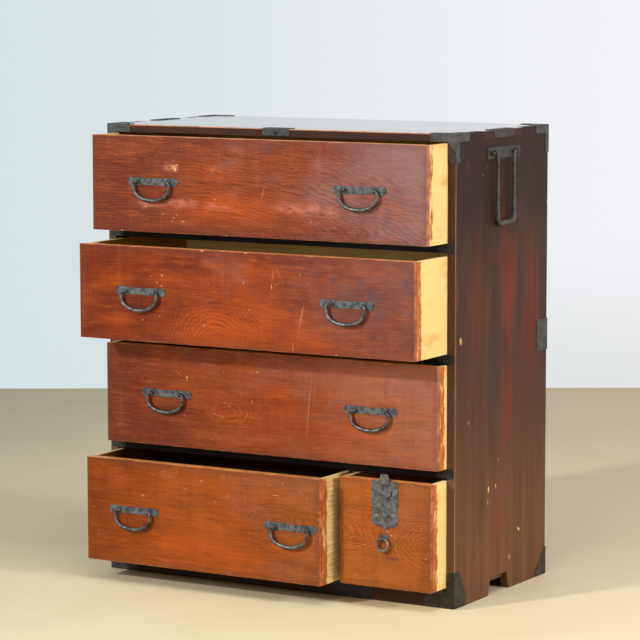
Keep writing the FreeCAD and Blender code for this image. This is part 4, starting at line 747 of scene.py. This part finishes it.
# darker copies of the case lacquer, a painted shade on the rails below and between the drawers
rail_lacquer = case_material("rail_lacquer", "X", painted_shade=0.32)
deep_shaded_lacquer = case_material("inner_rail_lacquer", "X", painted_shade=0.12)
top_lacquer = case_material(
    "top_lacquer", "X", polished=True, holes=plate_hole_shade(0.0026), upper_shade_share=0.45
)
plate_iron = iron_material("plate_iron", (56, 60, 66), (100, 104, 108), 0.06, 1.5)
side_iron = iron_material("side_iron", (48, 47, 47), (68, 66, 65), 0.12)
lock_iron = iron_material("lock_iron", (68, 69, 72), (108, 107, 106), 0.28, 2.0)
ring_iron = iron_material("ring_iron", (84, 78, 70), (142, 132, 114), 0.10, 1.6, 0.5)
corner_iron = iron_material("corner_iron", (54, 58, 61), (78, 80, 79), 0.20)
edge_iron = iron_material(
    "edge_iron", (54, 58, 61), (78, 80, 79), 0.20, holes=plate_hole_shade(0.0034)
)
# a darker copy of the corner iron, a painted shade on the plates between the drawers
joint_iron = iron_material("joint_iron", (32, 35, 38), (48, 51, 53), 0.15)
handle_iron = iron_material("handle_iron", (56, 56, 57), (84, 83, 82), 0.10, 1.6, 0.4)
# dark iron, darkened further as a painted shade under drawer 4
base_iron = iron_material("base_iron", (40, 38, 34), (60, 56, 50), 0.35)
bar_iron = iron_material("bar_iron", (58, 56, 55), (106, 103, 99), 0.08, 1.6, 0.7, 0.20)
lock_nail_iron = iron_material("lock_nail_iron", (128, 106, 78), (170, 146, 106), 0.1, 2.0, 0.4)

for number in FRONTS:
    dress(front_material(number), f"drawer_{number}_front")
    dress(pale_side_material(number), f"drawer_{number}_sides")
    # drawer 4's pale back and bottom take the dark boards, a painted shade inside that drawer
    inner = rough_boards if number == 4 else pale_boards
    dress(inner, f"drawer_{number}_back", f"drawer_{number}_bottom")
    if number in WIDE_DRAWERS:
        dress(plate_iron, f"drawer_{number}_handle_irons")
dress(right_lacquer, "right_side_panel")
dress(left_lacquer, "left_side_panel")
# the rails take the darker copies, a painted shade
dress(deep_shaded_lacquer, "lower_rail", "middle_rail", "upper_rail", "drawer_partition")
dress(rail_lacquer, "base_front_rail", "base_back_rail")
dress(top_lacquer, "top_board")
dress(rough_boards, "lower_dust_board", "middle_dust_board", "upper_dust_board", "bottom_board")
dress(back_wood, "back_boards")
dress(lock_iron, "lock_plate", "lock_bolt", "lock_guides")
dress(plate_iron, "ring_irons")
dress(side_iron, "side_handle_irons", "handle_wear_plates")
dress(corner_iron, "top_corner_irons", "edge_straps")
dress(edge_iron, "top_edge_plate")
dress(joint_iron, "joint_plates")
dress(base_iron, "base_corner_irons")


# Softened edges

WOOD_ROUNDING = 0.0009
IRON_ROUNDING = 0.0004
SAME_POINT = 0.00001


def soften(size, *names):
    """Rounds the sharp edges of a node as it is drawn."""
    for name in names:
        weld = nodes[name].modifiers.new("weld", "WELD")
        weld.merge_threshold = SAME_POINT
        bevel = nodes[name].modifiers.new("rounded_edges", "BEVEL")
        bevel.width = size
        bevel.segments = 2
        bevel.limit_method = "ANGLE"
        bevel.angle_limit = math.radians(50)
        bevel.harden_normals = False


soften(WOOD_ROUNDING, "top_board", "left_side_panel", "right_side_panel", "base_front_rail")
for number in FRONTS:
    soften(WOOD_ROUNDING, f"drawer_{number}_front")
soften(IRON_ROUNDING, "lock_plate", "lock_bolt", "top_corner_irons", "base_corner_irons")


# Pieces built from faces

def bridge(made, rings):
    """Smooth faces between closed rings of points."""
    for ring, following in zip(rings, rings[1:]):
        for i in range(len(ring)):
            corners = (ring[i - 1], ring[i], following[i], following[i - 1])
            made.faces.new(corners).smooth = True


def add_piece(name, made, material, body, node=None):
    """Turns the built faces into an iron piece that rides on a body and may replace a node."""
    bmesh.ops.recalc_face_normals(made, faces=made.faces)
    mesh = bpy.data.meshes.new(name)
    made.to_mesh(mesh)
    made.free()
    mesh.materials.append(material)
    piece = bpy.data.objects.new(name, mesh)
    bpy.context.scene.collection.objects.link(piece)
    if node:
        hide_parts(node)
    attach(piece, body)


# Forged bars

STATION_GAP = 0.0018
BAR_SIDES = 16
TIP_LENGTH = 0.8
TIP_SHARE = 0.45
FACETS = 8
FACET_DEPTH = 0.022
DENT_DEPTH = 0.09
DENT_SCALE = 130
RIDGE_STEP = 1.15


def walk(x, z, heading, legs):
    """Stations on a path in the XZ plane, as (x, z, heading in radians), a step apart.

    A leg is (length,) for a straight run, or (radius, degrees) for a bend, left positive.
    """
    heading = math.radians(heading)
    stations = [(x, z, heading)]
    for leg in legs:
        sweep = math.radians(leg[1]) if len(leg) > 1 else 0.0
        length = leg[0] * abs(sweep) if sweep else leg[0]
        count = max(1, math.ceil(length / STATION_GAP))
        for _ in range(count):
            heading += sweep / count / 2
            chord = length / count
            x += math.cos(heading) * chord
            z += math.sin(heading) * chord
            heading += sweep / count / 2
            stations.append((x, z, heading))
    return stations


def swelling(end, grip, low, sharpness):
    """A bar's radius by height: from end at the pivot's level to grip at the level low."""
    return lambda z: end + (grip - end) * min(1.0, abs(z / low)) ** sharpness


def forged_bar(stations, thickness, seat, seed, twist=0.0):
    """Faces of a hammered round bar. seat(along, depth, up) gives a point's place."""
    made = bmesh.new()
    rings = []
    count = len(stations)
    for step, (x, z, heading) in enumerate(stations):
        radius = thickness(z)
        nearest_end = min(step, count - 1 - step) * STATION_GAP
        rounded = min(1.0, nearest_end / (radius * TIP_LENGTH))
        reach = radius * (TIP_SHARE + (1 - TIP_SHARE) * math.sqrt(1 - (1 - rounded) ** 2))
        ring = []
        for side in range(BAR_SIDES):
            angle = side * math.tau / BAR_SIDES
            facets = FACET_DEPTH * math.cos(FACETS * angle)
            spot = Vector((x * DENT_SCALE + seed, z * DENT_SCALE, math.cos(angle) * 0.8))
            dent = DENT_DEPTH * noise.noise(spot)
            ridge = math.sin(step * RIDGE_STEP + angle * 2) * max(0.0, math.sin(heading + 0.4))
            here = reach * (1 + facets + dent + ridge * twist)
            depth = math.cos(angle) * here
            aside = math.sin(angle) * here
            along = x - math.sin(heading) * aside
            up = z + math.cos(heading) * aside
            ring.append(made.verts.new(seat(along, depth, up)))
        rings.append(ring)
    bridge(made, rings)
    for cap in (rings[0], rings[-1]):
        made.faces.new(cap)
    return made


def hung_from(pivot):
    """Places the points of a bar that hangs from a pivot and faces forward."""
    x, y, z = pivot
    return lambda along, depth, up: (x + along, y + depth, z + up)


# A bail handle, from its tip in one split pin to its tip in the other
BAIL_END = 0.0028
BAIL_GRIP = 0.0045
BAIL_SHARPNESS = 1.3
BAIL_HALF = 0.0475 - BAIL_END
BAIL_TIP = 0.031
BAIL_SHOULDER = 0.0065
BAIL_CORNER = 0.025
BAIL_BOTTOM = 0.070
BAIL_LOW = -0.0402
TWISTED_BAIL = (1, "left")


def bail_stations():
    offset = BAIL_HALF - BAIL_CORNER
    rise = math.sqrt((BAIL_BOTTOM - BAIL_CORNER) ** 2 - offset**2)
    bend_level = BAIL_LOW + BAIL_BOTTOM - rise
    sweep = math.degrees(math.atan2(rise, offset))
    side = [
        (BAIL_HALF - BAIL_SHOULDER - BAIL_TIP,), (BAIL_SHOULDER, -90),
        (-BAIL_SHOULDER - bend_level,),
    ]
    middle = [(BAIL_CORNER, -sweep), (BAIL_BOTTOM, 2 * sweep - 180), (BAIL_CORNER, -sweep)]
    return walk(BAIL_TIP, 0, 0, side + middle + side[::-1])


def build_bails():
    thickness = swelling(BAIL_END, BAIL_GRIP, BAIL_LOW, BAIL_SHARPNESS)
    for number in WIDE_DRAWERS:
        for side in ("left", "right"):
            node = f"drawer_{number}_bail_{side}"
            body = f"drawer_{number}_{side}_bail"
            seat = hung_from(pivots[f"{body}_hinge"])
            twist = 0.05 if (number, side) == TWISTED_BAIL else 0.02
            seed = number * 7.3 + (3.1 if side == "left" else 0)
            made = forged_bar(bail_stations(), thickness, seat, seed, twist)
            add_piece(f"forged_{node}", made, bar_iron, body, node)


RING_RADIUS = 0.0130
RING_EYE_WIRE = 0.0021
RING_WIRE = 0.0029
RING_GAP = 0.0008
RING_SEED = 4.4


def build_ring():
    """The ring pull, closed but for a small gap in its pin."""
    open_angle = math.degrees(RING_GAP / RING_RADIUS / 2)
    turn = math.radians(90 - open_angle)
    stations = walk(
        math.cos(turn) * RING_RADIUS, math.sin(turn) * RING_RADIUS - RING_RADIUS, -open_angle,
        [(RING_RADIUS, 2 * open_angle - 360)],
    )
    thickness = swelling(RING_EYE_WIRE, RING_WIRE, -RING_RADIUS, 1)
    made = forged_bar(stations, thickness, hung_from(pivots["ring_hinge"]), RING_SEED)
    add_piece("forged_ring_pull", made, ring_iron, "ring", "ring_pull")


CARRY_BAR = 0.0034
CARRY_GRIP = 0.0056
CARRY_SHARPNESS = 3
CARRY_HALF = 0.037
CARRY_TIP = 0.061
CARRY_SHOULDER = 0.008
CARRY_CORNER = 0.014
CARRY_LOW = CARRY_GRIP - 0.152
CARRY_SEED = 9.2


def build_carrying_handles():
    """Each hangs in its two pins by ends that turn outward."""
    end = (CARRY_TIP - CARRY_HALF - CARRY_SHOULDER,)
    arm = (-CARRY_LOW - CARRY_SHOULDER - CARRY_CORNER,)
    cross = (2 * (CARRY_HALF - CARRY_CORNER),)
    bottom = [(CARRY_CORNER, -90), cross, (CARRY_CORNER, -90)]
    legs = [end, (CARRY_SHOULDER, 90), arm] + bottom + [arm, (CARRY_SHOULDER, 90), end]
    stations = walk(CARRY_TIP, 0, 180, legs)
    thickness = swelling(CARRY_BAR, CARRY_GRIP, CARRY_LOW, CARRY_SHARPNESS)
    for side, sign in (("left", -1), ("right", 1)):
        x, y, z = pivots[f"{side}_carrying_handle_hinge"]

        def seat(along, depth, up, x=x, y=y, z=z, sign=sign):
            return (x - sign * depth, y - along, z + up)

        made = forged_bar(stations, thickness, seat, CARRY_SEED + sign)
        name, body = f"forged_carrying_handle_{side}", f"{side}_carrying_handle"
        add_piece(name, made, handle_iron, body, f"side_handle_{side}")


# Nails and domes

DOME_SHARES = (1.0, 0.92, 0.70, 0.38)
DOME_ROUNDNESS = 0.98
DOME_SINK = 0.14
NAIL_SIDES = 12
DOME_SIDES = 32


def build_domes(name, places, radius, height, body, material, sides=NAIL_SIDES):
    """Low domed heads, each at a place with the direction that it faces."""
    made = bmesh.new()
    angles = [i * math.tau / sides for i in range(sides)]
    for place, out in places:
        out = Vector(out)
        across = out.orthogonal().normalized()
        aside = out.cross(across)
        rings = []
        for share in DOME_SHARES:
            rise = height * math.sqrt(1 - share * share * DOME_ROUNDNESS) - height * DOME_SINK
            spin = dice.uniform(0.94, 1.06)
            rings.append([
                made.verts.new(
                    Vector(place) + out * rise
                    + (across * math.cos(angle) + aside * math.sin(angle)) * radius * share * spin
                )
                for angle in angles
            ])
        bridge(made, rings)
        made.faces.new(rings[-1]).smooth = True
        made.faces.new(rings[0][::-1])
    add_piece(name, made, material, body)


PLATE_IRON_THICKNESS = 0.0016
CASE_IRON_THICKNESS = 0.0012
FORWARD = (0, -1, 0)

# A nail or a dome by its radius and its rise
HANDLE_NAIL = (0.0019, 0.0009)
LOCK_NAIL = (0.0030, 0.0014)
CASE_NAIL = (0.0015, 0.0007)
KNOB_DOME = (0.0092, 0.0030)
BOSS_DOME = (0.0080, 0.0036)

# Nails of a bail's plate: how far across from the bail's middle, and how much they stray
HANDLE_NAILS = (-0.0535, 0.001, 0.0535)
STRAY = 0.0012

# The lock plate's nails across and up, and the levels of its boss and of the bolt's knob
LOCK_NAILS = ((0.2789, 0.1950), (0.3168, 0.1960))
KNOB_LEVEL = 0.2648
BOSS_LEVEL = 0.1963
BOSS_THICKNESS = 0.0012

# Nails of the case's irons: across and up on its front, back and up on its sides
FRONT_NAILS = (
    (0.372, 0.9665), (0.398, 0.9665), (0.4155, 0.935), (0.4155, 0.9535),
    (0.361, 0.012), (0.398, 0.012), (0.4150, 0.066), (0.4150, 0.030),
)
SIDE_NAILS = (
    (0.012, 0.9675), (0.040, 0.9675), (0.008, 0.925), (0.382, 0.9675), (0.410, 0.9675),
    (0.414, 0.925), (0.016, 0.058), (0.012, 0.016), (0.034, 0.016), (0.410, 0.044),
    (0.400, 0.014), (0.404, 0.516), (0.404, 0.536), (0.170, 0.9675), (0.249, 0.9675),
)


def build_handle_nails():
    """Three nails in each bail's plate."""
    for number in WIDE_DRAWERS:
        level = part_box(f"drawer_{number}_front")[0].y - PLATE_IRON_THICKNESS
        spots = []
        for side in ("left", "right"):
            x, _, z = pivots[f"drawer_{number}_{side}_bail_hinge"]
            for shift in HANDLE_NAILS:
                spots.append(((x + shift, level, z + dice.uniform(-STRAY, STRAY)), FORWARD))
        name, body = f"drawer_{number}_plate_nails", f"drawer_{number}"
        build_domes(name, spots, *HANDLE_NAIL, body, bar_iron)


def build_lock_relief():
    """The lock plate's nails, its boss, and the rounded middle of the bolt's knob."""
    plate_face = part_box("drawer_5_front")[0].y - PLATE_IRON_THICKNESS
    spots = [((x, plate_face, z), FORWARD) for x, z in LOCK_NAILS]
    build_domes("lock_plate_nails", spots, *LOCK_NAIL, "drawer_5", lock_nail_iron)
    low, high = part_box("lock_bolt")
    middle = (low.x + high.x) / 2
    spots = [((middle, low.y, KNOB_LEVEL), FORWARD)]
    build_domes("lock_knob_dome", spots, *KNOB_DOME, "bolt", lock_iron, DOME_SIDES)
    spots = [((middle, plate_face - BOSS_THICKNESS, BOSS_LEVEL), FORWARD)]
    build_domes("lock_boss_dome", spots, *BOSS_DOME, "drawer_5", lock_iron, DOME_SIDES)


def build_case_nails():
    """Small nails that hold the irons of the case, on its front and its sides."""
    side = CASE_SIDE + CASE_IRON_THICKNESS
    spots = []
    for sign in (-1, 1):
        for x, z in FRONT_NAILS:
            spots.append(((sign * x, -CASE_IRON_THICKNESS, z), FORWARD))
        for y, z in SIDE_NAILS:
            spots.append(((sign * side, y, z), (sign, 0, 0)))
    build_domes("case_iron_nails", spots, *CASE_NAIL, "case", corner_iron)


build_bails()
build_ring()
build_carrying_handles()
build_handle_nails()
build_lock_relief()
build_case_nails()


# Stage

FLOOR_REACH = 2.98
FLOOR_FRONT = -1.6
WORLD_STRENGTH = 0.25

# Lamps: place, target, the disk's size, power and colour
LAMPS = {
    "key": ((-1.9, -4.4, 2.8), (0, 0, 0.5), 0.38, 176, (1.0, 0.97, 0.92)),
    "side": ((4.7, -0.1, 2.0), (0.4, 0.1, 0.5), 0.7, 128, (1.0, 0.97, 0.93)),
    "near_fill": ((-0.3, -2.3, 0.97), (0, 0, 0.66), 0.3, 9, (1.0, 0.97, 0.92)),
    "overhead": ((1.3, -1.2, 3.8), (1.3, -0.6, 0.0), 2.4, 62, (1.0, 0.99, 0.97)),
}


def build_lamp(name, place, target, size, power, colour):
    light = bpy.data.lights.new(name, "AREA")
    light.shape = "DISK"
    light.size = size
    light.energy = power
    light.color = colour
    lamp = bpy.data.objects.new(name, light)
    bpy.context.scene.collection.objects.link(lamp)
    lamp.location = place
    turn = (Vector(target) - Vector(place)).to_track_quat("-Z", "Y")
    lamp.rotation_euler = turn.to_euler()


def build_floor():
    """A pale floor, square to the camera, that ends where the photograph's wall begins."""
    turn = Matrix.Rotation(CAMERA_YAW, 4, "Z")
    corners = [
        turn @ Vector((x * FLOOR_REACH, y * FLOOR_REACH, 0))
        for x, y in ((-1, FLOOR_FRONT), (1, FLOOR_FRONT), (1, 1), (-1, 1))
    ]
    mesh = bpy.data.meshes.new("floor")
    mesh.from_pydata([tuple(corner) for corner in corners], [], [(0, 1, 2, 3)])
    floor = bpy.data.objects.new("floor", mesh)
    bpy.context.scene.collection.objects.link(floor)
    sh = Shader("pale_floor", 0.6, Specular_IOR_Level=0.2)
    soft = sh.noise((2.5, 2.5, 1), 4, 0.6)
    colour = sh.mix(soft.spread(0.35, 0.65, 0.5), paint(226, 216, 180), paint(214, 202, 164))
    # painted light: paler to the right and darker to the left, a pool of light
    across = sh.x * math.cos(CAMERA_YAW) + sh.y * math.sin(CAMERA_YAW)
    colour = sh.mix(across.spread(-0.3, 1.6), colour, paint(246, 224, 188))
    colour = sh.mix(across.spread(-0.1, -1.1, 0.6), colour, paint(186, 178, 148))
    mesh.materials.append(sh.finish(colour))


def build_world():
    """Soft light from all sides, behind a wall that is a little paler to the right."""
    world = bpy.data.worlds.new("studio")
    bpy.context.scene.world = world
    world.use_nodes = True
    world.node_tree.nodes.clear()
    sky = Nodes(world.node_tree)
    direction = sky.node("ShaderNodeTexCoord").outputs["Generated"]
    rightward = sky.node(
        "ShaderNodeVectorMath", direction, (math.cos(CAMERA_YAW), math.sin(CAMERA_YAW), 0.0),
        operation="DOT_PRODUCT",
    )
    across = Wire(sky, rightward.outputs["Value"]).spread(-0.13, 0.12)
    upward = sky.node("ShaderNodeSeparateXYZ", direction)
    height = Wire(sky, upward.outputs["Z"]).spread(-0.150, -0.085)
    right = sky.mix(height, paint(226, 228, 229), paint(241, 242, 245))
    wall = sky.mix(across, paint(214, 225, 228), right)
    seen = sky.node("ShaderNodeBackground", wall)
    lit = sky.node("ShaderNodeBackground", (0.93, 0.97, 1.0, 1.0), WORLD_STRENGTH)
    ray = sky.node("ShaderNodeLightPath").outputs
    shown = sky.larger(ray["Is Camera Ray"], ray["Is Glossy Ray"], ray["Is Transmission Ray"])
    mixer = sky.node("ShaderNodeMixShader", shown, lit.outputs[0], seen.outputs[0])
    sky.node("ShaderNodeOutputWorld", mixer.outputs[0])


def build_camera():
    lens = bpy.data.cameras.new("camera")
    lens.sensor_width = SENSOR_WIDTH
    lens.lens = FOCAL_PIXELS / PICTURE_PIXELS * SENSOR_WIDTH
    camera = bpy.data.objects.new("camera", lens)
    turn = (
        Matrix.Rotation(CAMERA_YAW, 4, "Z")
        @ Matrix.Rotation(math.pi / 2 + CAMERA_PITCH, 4, "X")
        @ Matrix.Rotation(CAMERA_ROLL, 4, "Z")
    )
    camera.matrix_world = Matrix.Translation(CAMERA_PLACE) @ turn
    bpy.context.scene.collection.objects.link(camera)
    bpy.context.scene.camera = camera


build_floor()
build_world()
build_camera()
for name, facts in LAMPS.items():
    build_lamp(name, *facts)

bpy.context.scene.view_settings.view_transform = "Standard"
